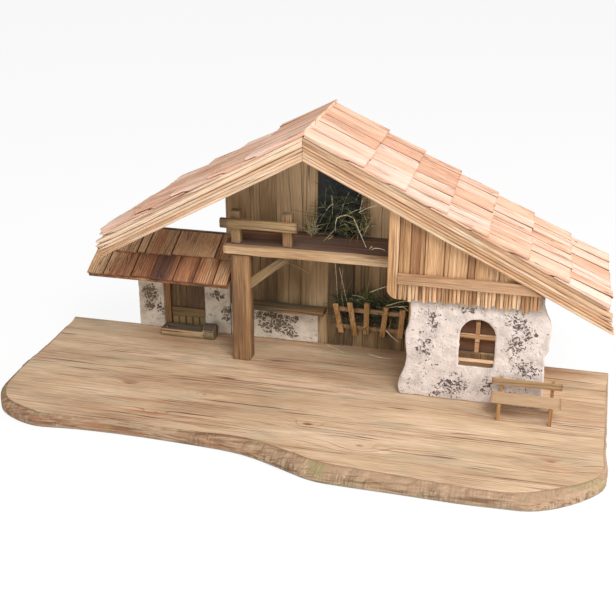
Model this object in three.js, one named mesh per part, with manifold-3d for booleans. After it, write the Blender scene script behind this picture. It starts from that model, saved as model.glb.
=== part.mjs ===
// A free-standing wooden nativity stable: a carved floor board with a plank back wall, a loft on a post,
// a plastered house, a plastered annex under a canopy, and a shingled gable roof over the loft and house.
//
// Millimetres, +X to the right, +Y to the back, +Z up. The origin is on the underside of the floor board,
// in the middle of its width and depth. Everything on the board is placed in the group "stage", whose
// origin is the middle of the back edge of the board's top face, so there y = -d lies d in front of it.

import * as THREE from "three";
import { mergeVertices } from "three/addons/utils/BufferGeometryUtils.js";
import Module from "manifold-3d";

const wasm = await Module();
wasm.setup();

// Fits
const fit = 0.3; // clearance where a piece is cut to a sloping or turned neighbour
const lap = 0.1; // overlap that joins the shapes of one piece
const past = 1; // how far a cutting shape runs out of the piece it cuts

// Floor board
const board = { width: 720, depth: 313, thickness: 16, arris: 2, foot: 2 };
// The hewn edge from the back left corner round the front to the back right one: its place as shares of half
// the width and of the depth, then the width and the drop of the cut along its top in millimetres
const boardEdge = [
  [-0.99, 0.256, 3, 2], [-0.99, 0.358, 3, 2], [-0.996, 0.456, 3, 2], [-0.993, 0.583, 4, 2],
  [-0.985, 0.69, 6, 3], [-0.946, 0.778, 8, 4], [-0.89, 0.83, 10, 5], [-0.822, 0.86, 10, 5],
  [-0.765, 0.866, 7, 4], [-0.656, 0.853, 4, 3], [-0.486, 0.848, 4, 3], [-0.283, 0.856, 6, 4],
  [-0.133, 0.87, 12, 7], [-0.042, 0.898, 15, 10], [0.056, 0.945, 17, 12], [0.135, 0.98, 18, 12],
  [0.211, 0.99, 17, 12], [0.392, 0.994, 14, 9], [0.569, 1, 11, 6], [0.69, 0.996, 9, 4],
  [0.774, 0.988, 13, 4], [0.855, 0.945, 14, 4], [0.937, 0.866, 10, 4], [0.983, 0.776, 6, 3],
  [0.981, 0.617, 3, 2], [0.989, 0.396, 3, 2],
];
const boardEdgeSteps = 3; // steps from each of these places to the next

// House. Heights are above the board's top face, depths in front of its back edge
const house = { left: 121, right: 274, depth: 118, wallThickness: 10, sideThickness: 7, wallHeight: 140 };
// The wavy edges of the plaster front: the height as a share of the wall's, and how far the edge lies to the
// right of the side wall's face
const houseLeftEdge = [
  [1, 3], [0.84, 2.5], [0.73, 2.8], [0.63, 0.1], [0.58, -2], [0.45, -1.1], [0.38, 0.3], [0.31, -0.2],
  [0.25, -1.7], [0.17, -5.8], [0.11, -8.2], [0.05, -8], [0, -5.9],
];
const houseRightEdge = [
  [0, 7], [0.23, 7], [0.46, 6.2], [0.54, 9.7], [0.64, 10.5], [0.77, 8.8], [0.9, 0.6], [1, 0],
];
const edgeSteps = 36;
const arch = { x: 202.4, width: 41.2, sill: 46.4, springing: 84.9 };
const gable = { leftPast: 25, rightShort: 2, foot: 131, thickness: 6, corner: 13 };
const gablePlank = { width: 42, groove: 1.6, grooveDepth: 1.2 };
const fringe = { length: 7, uneven: 2.4, strip: 5.2, slit: 0.8 };
const batten = { leftShort: 12.6, foot: 144, height: 13, thickness: 4 };
const backWindow = { x: 195.6, width: 62, sill: 7.5, height: 46.5 };
const windowBar = { width: 5.6, thickness: 4, height: 29.8 };

// Roof. The ridge is where the undersides of the roof boards meet; reaches are level, from the ridge
const roof = {
  ridgeX: -2, ridgeHeight: 300, pitchRight: 26.1, pitchLeft: 28.4, reachRight: 343.5, reachLeft: 245,
  boardThickness: 8, backOverhang: 30,
};
const verge = {
  thickness: 8, upper: 11, joint: 0.7, lower: 13.6, pastRight: 9.5, pastLeft: 6, round: 9, tip: 5,
  split: 3, splitLength: 75,
};
const shingle = {
  head: 0.9, butt: 2.7, lapped: 18, seam: 1.1, seamDepth: 1.1, proud: 1, pastEave: 1, uneven: 2,
};
const ridgeShingle = { past: 3, leftThickness: 5, rightThickness: 2.4 };
// Seams of each course, as shares of the roof's depth from its front to its back, and how far the course
// reaches past the back of the roof board
const rightCourses = {
  first: 72,
  pastBack: [9, 8, 7, 5, 3, 2, 0],
  seams: [
    [0.19, 0.42, 0.86], [0.29, 0.68, 0.89], [0.15, 0.52, 0.88], [0.29, 0.48, 0.67, 0.86],
    [0.12, 0.45, 0.78], [0.24, 0.52, 0.83], [0.26, 0.45, 0.64],
  ],
};
const leftCourses = {
  first: 68,
  pastBack: [9, 5, 3, 1, 0],
  seams: [[0.3, 0.62, 0.85], [0.2, 0.5, 0.8], [0.35, 0.6, 0.85], [0.22, 0.55, 0.78], [0.3, 0.68]],
};
// The left eave runs in towards the back, where the slope is shorter
const leftEave = { backShort: 50 };

// Plank back wall, nailed to the board's back edge, with dark boards behind its openings
const backWall = { left: -135.5, thickness: 6, foot: 1, plank: 34, groove: 1.4, grooveDepth: 1 };
const backPanel = { thickness: 3, margin: 9 };

// Loft
const loft = { left: -116, depth: 75, clearance: 142, beamHeight: 11, beamThickness: 12, floorThickness: 6 };
const post = { x: -94.5, width: 20.5, depth: 20, chamfer: 2.5 };
const brace = { footHeight: 95, reach: 55.7, width: 15, depth: 8, setback: 5 };
const rail = { left: -121, right: -23, height: 13, depth: 8, clearance: 20, setback: 4 };
const railPost = { leftX: -103, rightX: -37.5, width: 11, above: 8.7 };
const loftDoor = { left: -14.3, width: 56, height: 88 };

// Annex
const annex = { left: -261, right: -131, wallThickness: 5 };
const doorway = { left: -224, width: 57, height: 100 };
const doorPost = { width: 10, depth: 7 };
const halfDoor = { height: 32, slats: 5, gap: 2, thickness: 2, rail: 12, lowRail: 5, railThickness: 2 };
const canopy = { left: -299, right: -112, height: 137, pitch: 31.5, length: 83, thickness: 4, first: 44 };
const canopySeams = [[0.13, 0.3, 0.36, 0.55, 0.86], [0.12, 0.32, 0.46, 0.62, 0.76, 0.9]];

// Low wall with its shelf, and the log trough
const lowWall = { left: -130, right: -11.4, height: 46, thickness: 4.5 };
const shelf = { depth: 23, thickness: 8, pastBack: 11, pastFront: 4.5 };
const trough = {
  left: -221, right: -147, middle: 21, radius: 11, flat: 2, height: 12, bore: 7, wall: 6, end: 15,
};

// Hay rack, leaning out at the top. Each slat: x of its foot and its head, height of its foot and its head
const rack = { foot: 18, tilt: 21, slat: 7, slatThickness: 3, rail: 6, railThickness: 3 };
const rackRails = { left: 12, right: 106, lower: 9, upper: 40 };
const rackSlats = [
  [19.7, 15.2, 4, 54], [38.2, 34, 0, 58], [52.8, 56.2, 5, 60], [73.8, 80.6, 3, 56], [96.8, 102, 4, 54],
];

// Hay, as plain closed lumps
const rackHay = { foot: 16, top: 50, crown: 9, sideGap: 2 };
const loftHay = { gap: 0.5, out: 9, round: 4 };

// Bench, which stands a gap in front of the house
const bench = { left: 223, right: 303, gap: 12, depth: 26, height: 24.6, seat: 3 };
const benchLeg = { inset: 9, width: 4, stretcher: 4 };
const benchBack = { foot: 31.5, height: 9, thickness: 3, setback: 1 };

// Colours
const pine = new THREE.MeshStandardMaterial({ color: 0xcda983, roughness: 0.75 });
const pinkPine = new THREE.MeshStandardMaterial({ color: 0xe6c6a6, roughness: 0.8 });
const stainedPine = new THREE.MeshStandardMaterial({ color: 0x86694a, roughness: 0.8 });
const canopyPine = new THREE.MeshStandardMaterial({ color: 0xa9744f, roughness: 0.8 });
const benchPine = new THREE.MeshStandardMaterial({ color: 0xb58d5c, roughness: 0.75 });
const plaster = new THREE.MeshStandardMaterial({ color: 0xdcd2cc, roughness: 0.95 });
const darkBoard = new THREE.MeshStandardMaterial({ color: 0x3a2a20, roughness: 0.9 });
const hay = new THREE.MeshStandardMaterial({ color: 0x4c5230, roughness: 1 });

const radians = THREE.MathUtils.degToRad;
const tan = (degrees) => Math.tan(radians(degrees));
const cos = (degrees) => Math.cos(radians(degrees));

// A fixed value between -1 and 1 for each whole number, for hand-cut unevenness
const uneven = (index) => Math.sin(index * 2.4) * Math.cos(index * 5.1);

// The height w at u of a line through two points
function lineThrough(u0, w0, u1, w1) {
  return (u) => w0 + ((w1 - w0) * (u - u0)) / (u1 - u0);
}

// Turns a closed geometry into a solid that can be joined and cut
function toSolid(geometry) {
  const bare = geometry.clone();
  bare.deleteAttribute("normal");
  bare.deleteAttribute("uv");
  const merged = mergeVertices(bare, 1e-5);
  return new wasm.Manifold(new wasm.Mesh({
    numProp: 3,
    vertProperties: new Float32Array(merged.attributes.position.array),
    triVerts: new Uint32Array(merged.index.array),
  }));
}

function toGeometry(solid) {
  const data = solid.getMesh();
  const places = new Float32Array(data.vertProperties);
  const geometry = new THREE.BufferGeometry();
  geometry.setAttribute("position", new THREE.BufferAttribute(places, 3));
  geometry.setIndex(new THREE.BufferAttribute(new Uint32Array(data.triVerts), 1));
  geometry.computeVertexNormals();
  return geometry;
}

function join(geometries) {
  return toGeometry(geometries.map(toSolid).reduce((sum, next) => sum.add(next)));
}

function cut(geometry, tools) {
  return toGeometry(tools.map(toSolid).reduce((rest, tool) => rest.subtract(tool), toSolid(geometry)));
}

// A box between two corners
function box([x0, y0, z0], [x1, y1, z1]) {
  return new THREE.BoxGeometry(x1 - x0, y1 - y0, z1 - z0)
    .translate((x0 + x1) / 2, (y0 + y1) / 2, (z0 + z1) / 2);
}

function outline(points) {
  return new THREE.Shape(points.map(([a, b]) => new THREE.Vector2(a, b)));
}

function rectangle(left, foot, width, height) {
  const [right, top] = [left + width, foot + height];
  return outline([[left, foot], [right, foot], [right, top], [left, top]]);
}

// An upright panel: a shape drawn in x and z as seen from the front, thick from y = back forwards
function panel(shape, back, thickness, curveSegments = 12) {
  return new THREE.ExtrudeGeometry(shape, { depth: thickness, bevelEnabled: false, curveSegments })
    .rotateX(Math.PI / 2)
    .translate(0, back, 0);
}

// A bar between two values of x, its section drawn in y and z
function bar(points, x0, x1) {
  return new THREE.ExtrudeGeometry(outline(points), { depth: x1 - x0, bevelEnabled: false })
    .rotateZ(Math.PI / 2).rotateY(Math.PI / 2)
    .translate(x0, 0, 0);
}

// Joins rings of equal length into one closed skin, with flat ends
function skin(rings) {
  const count = rings[0].length;
  const last = (rings.length - 1) * count;
  const faces = [];
  for (let ring = 0; ring + 1 < rings.length; ring += 1) {
    for (let i = 0; i < count; i += 1) {
      const [a, b] = [ring * count + i, ring * count + ((i + 1) % count)];
      faces.push(a, b, b + count, a, b + count, a + count);
    }
  }
  const flat = (ring) => ring.map(([x, y]) => new THREE.Vector2(x, y));
  THREE.ShapeUtils.triangulateShape(flat(rings[0]), []).forEach(([a, b, c]) => faces.push(a, c, b));
  THREE.ShapeUtils.triangulateShape(flat(rings.at(-1)), [])
    .forEach(([a, b, c]) => faces.push(last + a, last + b, last + c));
  const geometry = new THREE.BufferGeometry();
  geometry.setAttribute("position", new THREE.Float32BufferAttribute(rings.flat(2), 3));
  geometry.setIndex(faces);
  geometry.computeVertexNormals();
  return geometry;
}

// Grooves between planks, cut into a front face at y = face
function plankGrooves({ left, right, plank, groove, grooveDepth, face, low, high }) {
  const grooves = [];
  for (let x = left + plank; x < right - plank / 2; x += plank) {
    grooves.push(box([x - groove / 2, face - past, low], [x + groove / 2, face + grooveDepth, high]));
  }
  return grooves;
}

function mesh(name, geometry, material) {
  const piece = new THREE.Mesh(geometry, material);
  piece.name = name;
  return piece;
}

// Places worked out from the sizes
const loftTop = loft.clearance + loft.beamHeight;
const gableFace = -(house.depth + gable.thickness);
const vergeBack = gableFace - fit;
const vergeFront = vergeBack - verge.thickness;
const vergeFoot = roof.boardThickness - verge.upper - verge.joint - verge.lower;
const benchFace = -(house.depth + bench.gap); // the back edge of the bench's seat

// Height of the underside of the roof boards at x, or of another plane w outside it
function roofHeight(x, w = 0) {
  const run = x - roof.ridgeX;
  const pitch = run > 0 ? roof.pitchRight : roof.pitchLeft;
  return roof.ridgeHeight - Math.abs(run) * tan(pitch) + w / cos(pitch);
}

// The top of a wall that is trimmed to the roof, from its right end to its left
function roofLine(left, right) {
  const xs = left < roof.ridgeX && right > roof.ridgeX ? [right, roof.ridgeX, left] : [right, left];
  return xs.map((x) => [x, roofHeight(x) - fit]);
}

// Floor board

// Points along the hewn edge, with the width and drop of its cut
function boardEdgePoints() {
  const half = board.width / 2;
  const corner = (x) => [x, 0, board.arris, board.arris];
  const rows = [corner(-1), ...boardEdge, corner(1)];
  const curve = (points) => new THREE.SplineCurve(points.map(([a, b]) => new THREE.Vector2(a, b)));
  const places = curve(rows.map(([x, depth]) => [x * half, -depth * board.depth]));
  const cuts = curve(rows.map(([, , width, drop]) => [width, drop]));
  const steps = boardEdgeSteps * (rows.length - 1);
  return Array.from({ length: steps + 1 }, (_, i) => {
    const place = places.getPoint(i / steps);
    const { x: width, y: drop } = cuts.getPoint(i / steps);
    return { x: place.x, y: place.y, width, drop };
  });
}

// The edge drawn in by a width and at a height that may change along it; the back edge stays straight
function boardRing(points, width, height) {
  return points.map((point, i) => {
    const isBack = i === 0 || i === points.length - 1;
    const before = points[Math.max(i - 1, 0)];
    const after = points[Math.min(i + 1, points.length - 1)];
    const inward = new THREE.Vector2(before.y - after.y, after.x - before.x).normalize();
    const by = isBack ? 0 : width(point);
    return [point.x + inward.x * by, point.y + inward.y * by, height(point)];
  });
}

function baseBoard() {
  const points = boardEdgePoints();
  const rings = [
    boardRing(points, () => board.foot, () => -board.thickness),
    boardRing(points, () => 0, () => board.foot - board.thickness),
    boardRing(points, () => 0, (point) => -point.drop),
    boardRing(points, (point) => point.width, () => 0),
  ];
  return mesh("base_board", skin(rings), pine);
}

// Back wall, whose front face is y = 0

function plankWall(name, left, right, top, openings = []) {
  const foot = backWall.foot - board.thickness;
  const shape = outline([[left, foot], [right, foot], ...top]);
  shape.holes.push(...openings);
  const wall = panel(shape, backWall.thickness, backWall.thickness);
  const high = Math.max(...top.map(([, z]) => z)) + past;
  const grooves = plankGrooves({ ...backWall, left, right, face: 0, low: foot - past, high });
  return mesh(name, cut(wall, grooves), stainedPine);
}

function backWalls() {
  const annexTop = canopy.height + canopy.thickness;
  const door = rectangle(loftDoor.left, loftTop, loftDoor.width, loftDoor.height);
  const { x, width, sill, height } = backWindow;
  const window = rectangle(x - width / 2, sill, width, height);
  const middle = backWall.left;
  const annexLine = [[middle, annexTop], [annex.left, annexTop]];
  const houseLine = roofLine(house.left, house.right);
  return [
    plankWall("back_wall_annex", annex.left, middle, annexLine),
    plankWall("back_wall_loft", middle, house.left, roofLine(middle, house.left), [door]),
    plankWall("back_wall_house", house.left, house.right, houseLine, [window]),
  ];
}

// A dark board on the back of the wall, behind an opening
function darkPanel(name, left, foot, width, height) {
  const { margin, thickness } = backPanel;
  const low = [left - margin, backWall.thickness, foot - margin];
  const high = [left + width + margin, backWall.thickness + thickness, foot + height + margin];
  return mesh(name, box(low, high), darkBoard);
}

function windowCross() {
  const { x, width, sill, height } = backWindow;
  const half = windowBar.width / 2;
  const [front, back] = [backWall.thickness - windowBar.thickness, backWall.thickness];
  const upright = box([x - half, front, sill + fit], [x + half, back, sill + height - fit]);
  const reach = width / 2 - fit;
  const [low, high] = [windowBar.height - half, windowBar.height + half];
  const across = box([x - reach, front, low], [x + reach, back, high]);
  return mesh("window_cross", join([upright, across]), benchPine);
}

function backPieces() {
  const { x, width, sill, height } = backWindow;
  return [
    darkPanel("loft_door_panel", loftDoor.left, loftTop, loftDoor.width, loftDoor.height),
    darkPanel("window_panel", x - width / 2, sill, width, height),
    windowCross(),
  ];
}

// Annex

function annexWall() {
  const top = canopy.height - annex.wallThickness * tan(canopy.pitch) - fit;
  const doorRight = doorway.left + doorway.width;
  const shape = outline([
    [annex.left, 0], [doorway.left, 0], [doorway.left, doorway.height], [doorRight, doorway.height],
    [doorRight, 0], [annex.right, 0], [annex.right, top], [annex.left, top],
  ]);
  return mesh("annex_wall", panel(shape, 0, annex.wallThickness), plaster);
}

function annexDoorPost() {
  const left = doorway.left;
  const corners = [[left, -doorPost.depth, 0], [left + doorPost.width, 0, doorway.height]];
  return mesh("door_post", box(...corners), benchPine);
}

function annexHalfDoor() {
  const left = doorway.left + doorPost.width + fit;
  const right = doorway.left + doorway.width - fit;
  const pitch = (right - left + halfDoor.gap) / halfDoor.slats;
  const front = -halfDoor.thickness;
  const slats = Array.from({ length: halfDoor.slats }, (_, i) => (
    box([left + i * pitch, front, 0], [left + (i + 1) * pitch - halfDoor.gap, 0, halfDoor.height])
  ));
  const across = (low, high) => box([left, front - halfDoor.railThickness, low], [right, front + lap, high]);
  const rails = [across(0, halfDoor.lowRail), across(halfDoor.height - halfDoor.rail, halfDoor.height)];
  return mesh("half_door", join([...slats, ...rails]), benchPine);
}

// Shingles. A course is drawn in its slope: u runs down the slope and w stands out of it.
// `prism` makes the solid of a section between two places along the roof

// How far a shingle's end lies above its bed, so that it clears the course below
function shingleLift(exposure) {
  const share = shingle.lapped / (exposure + shingle.lapped);
  return (shingle.head + (shingle.butt - shingle.head) * share + fit) / (1 - share);
}

function course(prism, { headAt, butt, bed, lift, edges, seed, headThickness = shingle.head }) {
  const head = headAt(bed);
  const bottom = lineThrough(head, bed, butt, bed + lift);
  const top = lineThrough(head, bed + headThickness, butt, bed + lift + shingle.butt);
  const headTop = headAt(bed + headThickness);
  const shingles = edges.slice(1).map((to, i) => {
    const end = butt + shingle.uneven * uneven(seed + i);
    const section = [[head, bed], [end, bottom(end)], [end, top(end)], [headTop, bed + headThickness]];
    return prism(section, edges[i], i + 2 < edges.length ? to + lap : to);
  });
  const end = butt + 2 * shingle.uneven;
  const seams = edges.slice(1, -1).map((at) => {
    const [low, high] = [-shingle.seamDepth, shingle.butt];
    const section = [
      [headTop, top(headTop) + low], [end, top(end) + low], [end, top(end) + high],
      [headTop, top(headTop) + high],
    ];
    return prism(section, at - shingle.seam / 2, at + shingle.seam / 2);
  });
  return cut(join(shingles), seams);
}

// Butts of the courses on a slope of a given length
function buttPlaces(length, first, count) {
  const exposure = count > 1 ? (length - first) / (count - 1) : 0;
  return { exposure, butts: Array.from({ length: count }, (_, i) => first + i * exposure) };
}

function shareEdges(shares, from, to) {
  return [0, ...shares, 1].map((share) => THREE.MathUtils.lerp(from, to, share));
}

function canopyRoof() {
  const { left, right, length, thickness, first } = canopy;
  const prism = (section, from, to) => bar(section.map(([u, w]) => [-u, w]), from, to);
  const setback = fit / cos(canopy.pitch);
  const slab = prism([[setback, 0], [length, 0], [length, thickness], [setback, thickness]], left, right);
  const { exposure, butts } = buttPlaces(length + shingle.pastEave, first, canopySeams.length);
  const group = new THREE.Group();
  group.position.set(0, 0, canopy.height);
  group.rotation.x = radians(canopy.pitch);
  group.add(mesh("canopy_board", slab, canopyPine));
  canopySeams.forEach((shares, i) => {
    const head = i === 0 ? setback : butts[i - 1] - shingle.lapped;
    const row = {
      headAt: () => head, butt: butts[i], bed: thickness + fit, lift: shingleLift(exposure),
      edges: shareEdges(shares, left, right), seed: 31 + 7 * i,
    };
    group.add(mesh(`canopy_course_${i + 1}`, course(prism, row), canopyPine));
  });
  return group;
}

// Low wall, shelf and trough

function lowWallPieces() {
  const { left, right, height, thickness } = lowWall;
  const plan = outline([
    [left, 0], [left, -shelf.depth], [right + shelf.pastFront, -shelf.depth], [right + shelf.pastBack, 0],
  ]);
  const top = new THREE.ExtrudeGeometry(plan, { depth: shelf.thickness, bevelEnabled: false });
  return [
    mesh("low_wall", box([left, -thickness, 0], [right, 0, height]), plaster),
    mesh("low_wall_shelf", top.translate(0, 0, height), stainedPine),
  ];
}

// A log along x, its radius and the height of its middle given
function log(radius, left, right, y, z, sides = 16) {
  return new THREE.CylinderGeometry(radius, radius, right - left, sides)
    .rotateZ(Math.PI / 2).translate((left + right) / 2, y, z);
}

function logTrough() {
  const { left, right, radius, flat, bore, wall, end, height } = trough;
  const [y, z] = [-trough.middle, radius - flat];
  const body = log(radius, left, right, y, z);
  const [front, back] = [y - radius - past, y + radius + past];
  const floorCut = box([left - past, front, -radius], [right + past, back, 0]);
  const topCut = box([left - past, front, height], [right - end, back, z + radius + past]);
  const hollow = log(bore, left + wall, right - end - wall, y, height);
  return mesh("log_trough", cut(body, [floorCut, topCut, hollow]), stainedPine);
}

// Loft

function loftPost() {
  const { x, width, depth, chamfer } = post;
  const [left, right] = [x - width / 2, x + width / 2];
  const [front, back] = [-loft.depth, -loft.depth + depth];
  const plan = outline([
    [left + chamfer, front], [right - chamfer, front], [right, front + chamfer], [right, back],
    [left, back], [left, front + chamfer],
  ]);
  const stem = new THREE.ExtrudeGeometry(plan, { depth: loft.clearance, bevelEnabled: false });
  return mesh("loft_post", stem, benchPine);
}

function kneeBrace() {
  const left = post.x + post.width / 2;
  const right = left + brace.reach;
  const shape = outline([
    [left, brace.footHeight], [right, loft.clearance], [right - brace.width, loft.clearance],
    [left, brace.footHeight + brace.width],
  ]);
  return mesh("knee_brace", panel(shape, -loft.depth + brace.setback + brace.depth, brace.depth), benchPine);
}

function loftPlatform() {
  const beamBack = -loft.depth + loft.beamThickness;
  const beam = box([loft.left, -loft.depth, loft.clearance], [house.left, beamBack, loftTop]);
  const floor = box([loft.left, beamBack, loftTop - loft.floorThickness], [house.left, 0, loftTop]);
  return [mesh("loft_beam", beam, benchPine), mesh("loft_floor", floor, stainedPine)];
}

function loftRailing() {
  const front = -loft.depth + rail.setback;
  const face = front + rail.depth;
  const foot = loftTop + rail.clearance;
  const top = foot + rail.height;
  const half = railPost.width / 2;
  const [back, head] = [face + railPost.width, top + railPost.above];
  const stand = (name, x) => mesh(name, box([x - half, face, loftTop], [x + half, back, head]), benchPine);
  const bearer = box([rail.left, front, foot], [rail.right, face, top]);
  return [
    stand("rail_post_left", railPost.leftX), stand("rail_post_right", railPost.rightX),
    mesh("loft_rail", bearer, benchPine),
  ];
}

// House

function wavyEdge(points, x) {
  const places = points.map(([share, past]) => new THREE.Vector2(x + past, share * house.wallHeight));
  return new THREE.SplineCurve(places).getPoints(edgeSteps);
}

function archPath() {
  const radius = arch.width / 2;
  const path = new THREE.Path();
  path.moveTo(arch.x - radius, arch.sill).lineTo(arch.x + radius, arch.sill);
  path.lineTo(arch.x + radius, arch.springing).absarc(arch.x, arch.springing, radius, 0, Math.PI, false);
  return path;
}

function houseFront() {
  const leftEdge = wavyEdge(houseLeftEdge, house.left);
  const rightEdge = wavyEdge(houseRightEdge, house.right);
  const shape = new THREE.Shape([...leftEdge, ...rightEdge]);
  shape.holes.push(archPath());
  const back = -house.depth + house.wallThickness;
  return mesh("house_front_wall", panel(shape, back, house.wallThickness), plaster);
}

// A side wall, which reaches on to the gable board above the plaster front
function houseSide(name, left) {
  const right = left + house.sideThickness;
  const length = house.depth - house.wallThickness;
  const top = roofLine(left, right);
  const lower = panel(outline([[left, 0], [right, 0], ...top]), 0, length);
  const upper = [[left, house.wallHeight], [right, house.wallHeight], ...top];
  return mesh(name, join([lower, panel(outline(upper), -length + lap, house.wallThickness + lap)]), plaster);
}

// The ragged foot of the gable board, from its right end to its left
function fringeTeeth(left, right) {
  const count = Math.floor((right - left) / fringe.strip);
  const pitch = (right - left) / count;
  return Array.from({ length: count }, (_, i) => {
    const x = right - i * pitch;
    const slit = x - pitch + fringe.slit;
    const foot = gable.foot - fringe.length - fringe.uneven * uneven(i);
    return [[x, foot], [slit, foot + uneven(i + count)], [slit, gable.foot], [x - pitch, gable.foot]];
  }).flat();
}

function gableBoard() {
  const left = house.left - gable.leftPast;
  const right = house.right - gable.rightShort;
  const corner = gable.foot - fringe.length + gable.corner;
  const shape = new THREE.Shape();
  const points = [...roofLine(left, right).reverse(), ...fringeTeeth(left + gable.corner, right)];
  shape.setFromPoints(points.map(([x, z]) => new THREE.Vector2(x, z)));
  shape.lineTo(left + gable.corner, corner - gable.corner);
  shape.quadraticCurveTo(left, corner - gable.corner, left, corner);
  const solid = panel(shape, -house.depth, gable.thickness, 6);
  const grooves = plankGrooves({
    left, right, plank: gablePlank.width, groove: gablePlank.groove, grooveDepth: gablePlank.grooveDepth,
    face: gableFace, low: gable.foot, high: roof.ridgeHeight,
  });
  return mesh("gable_board", cut(solid, grooves), pine);
}

// The batten ends at the underside of the lower verge board or at the gable board's edge
function gableBatten() {
  const left = house.left - gable.leftPast + batten.leftShort;
  const right = house.right - gable.rightShort;
  const [low, high] = [batten.foot, batten.foot + batten.height];
  const vergeX = (z) => roof.ridgeX + (roofHeight(roof.ridgeX, vergeFoot) - z - fit) / tan(roof.pitchRight);
  const end = (z) => Math.min(vergeX(z), right);
  const shape = outline([[left, low], [end(low), low], [end(high), high], [left, high]]);
  return mesh("gable_batten", panel(shape, gableFace, batten.thickness), pine);
}

// Hay rack and hay

function hayRack() {
  const group = new THREE.Group();
  group.position.set(0, rackRails.lower * Math.sin(radians(rack.tilt)) - fit, rack.foot);
  group.rotation.x = radians(rack.tilt);
  rackSlats.forEach(([foot, head, low, high], i) => {
    const half = rack.slat / 2;
    const shape = outline([
      [foot - half, low], [foot + half, low], [head + half, high], [head - half, high],
    ]);
    const slat = panel(shape, -rack.railThickness - fit, rack.slatThickness);
    group.add(mesh(`rack_slat_${i + 1}`, slat, benchPine));
  });
  ["lower", "upper"].forEach((level) => {
    const low = rackRails[level];
    const across = box([rackRails.left, -rack.railThickness, low], [rackRails.right, 0, low + rack.rail]);
    group.add(mesh(`rack_rail_${level}`, across, benchPine));
  });
  return group;
}

// The hay between the wall and the back of the rack, with a crown above it
function hayInRack() {
  const foot = rackRails.lower * Math.sin(radians(rack.tilt));
  const back = (z) => foot - (z - rack.foot) * tan(rack.tilt);
  const [low, high] = [rack.foot + rackHay.foot, rack.foot + rackHay.top];
  const near = (z) => back(z) + 2 * fit;
  const section = [
    [-fit, low], [-fit, high + rackHay.crown], [near(high) / 2, high + rackHay.crown], [near(high), high],
    [near(low) - 3 * fit, low],
  ];
  const [left, right] = [rackRails.left + rackHay.sideGap, rackRails.right - rackHay.sideGap];
  return mesh("rack_hay", bar(section.reverse(), left, right), hay);
}

// The hay that fills the loft's doorway and swells out of it
function hayInLoft() {
  const { gap, out, round } = loftHay;
  const inset = gap + round;
  const shape = rectangle(
    loftDoor.left + inset, loftTop + inset, loftDoor.width - 2 * inset, loftDoor.height - 2 * inset,
  );
  const depth = backWall.thickness + out - gap - 2 * round;
  const swell = { depth, bevelThickness: round, bevelSize: round, bevelSegments: 3, curveSegments: 4 };
  const lump = new THREE.ExtrudeGeometry(shape, swell).rotateX(Math.PI / 2);
  return mesh("loft_hay", lump.translate(0, backWall.thickness - gap - round, 0), hay);
}

// Bench

function benchFrame(name, left) {
  const { width, stretcher } = benchLeg;
  const seatFoot = bench.height - bench.seat;
  const front = benchFace - bench.depth;
  const back = benchFace + benchBack.setback + benchBack.thickness;
  const right = left + width;
  const frontLeg = box([left, front, 0], [right, front + width, seatFoot]);
  const backLeg = box([left, back, 0], [right, back + width, benchBack.foot + benchBack.height]);
  const rung = box([left, front, seatFoot - stretcher], [right, back + width, seatFoot]);
  return mesh(name, join([frontLeg, backLeg, rung]), benchPine);
}

function benchPieces() {
  const { left, right, depth, height, seat } = bench;
  const front = benchFace + benchBack.setback;
  const [foot, top] = [benchBack.foot, benchBack.foot + benchBack.height];
  const rest = box([left, front, foot], [right, front + benchBack.thickness, top]);
  const plank = box([left, benchFace - depth, height - seat], [right, benchFace, height]);
  return [
    mesh("bench_seat", plank, benchPine),
    mesh("bench_back", rest, benchPine),
    benchFrame("bench_leg_left", left + benchLeg.inset),
    benchFrame("bench_leg_right", right - benchLeg.inset - benchLeg.width),
  ];
}

// Roof slopes. Each is a group turned to its pitch, with u along x away from the ridge (side = 1 or -1)

function slopeOf(side) {
  const right = side > 0;
  const pitch = right ? roof.pitchRight : roof.pitchLeft;
  const reach = right ? roof.reachRight : roof.reachLeft;
  const vergePast = right ? verge.pastRight : verge.pastLeft;
  // u of a point w out of the underside and a level distance from the ridge
  const at = (level, w) => (level - w * Math.sin(radians(pitch))) / cos(pitch);
  const prism = (section, from, to) => panel(outline(section.map(([u, w]) => [side * u, w])), to, to - from);
  return { side, pitch, reach, vergeReach: reach + vergePast, at, prism, name: right ? "right" : "left" };
}

function roofBoard({ name, reach, at, prism }) {
  const top = roof.boardThickness;
  const section = [[at(fit, 0), 0], [at(reach, 0), 0], [at(reach, top), top], [at(fit, top), top]];
  return mesh(`roof_board_${name}`, prism(section, vergeBack + fit, roof.backOverhang), pinkPine);
}

// The upper verge board, whose outer end is rounded off at the top
function upperVerge({ name, vergeReach, at, prism }) {
  const [low, high] = [roof.boardThickness - verge.upper, roof.boardThickness];
  const end = at(vergeReach, low);
  const section = [
    [at(fit, low), low], [end, low], [end + verge.tip * lap, high - verge.round],
    [end - verge.round * (1 - Math.SQRT1_2), high - verge.round * (1 - Math.SQRT1_2)],
    [end - verge.round, high], [at(fit, high), high],
  ];
  return mesh(`verge_upper_${name}`, prism(section, vergeFront, vergeBack), pinkPine);
}

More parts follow.
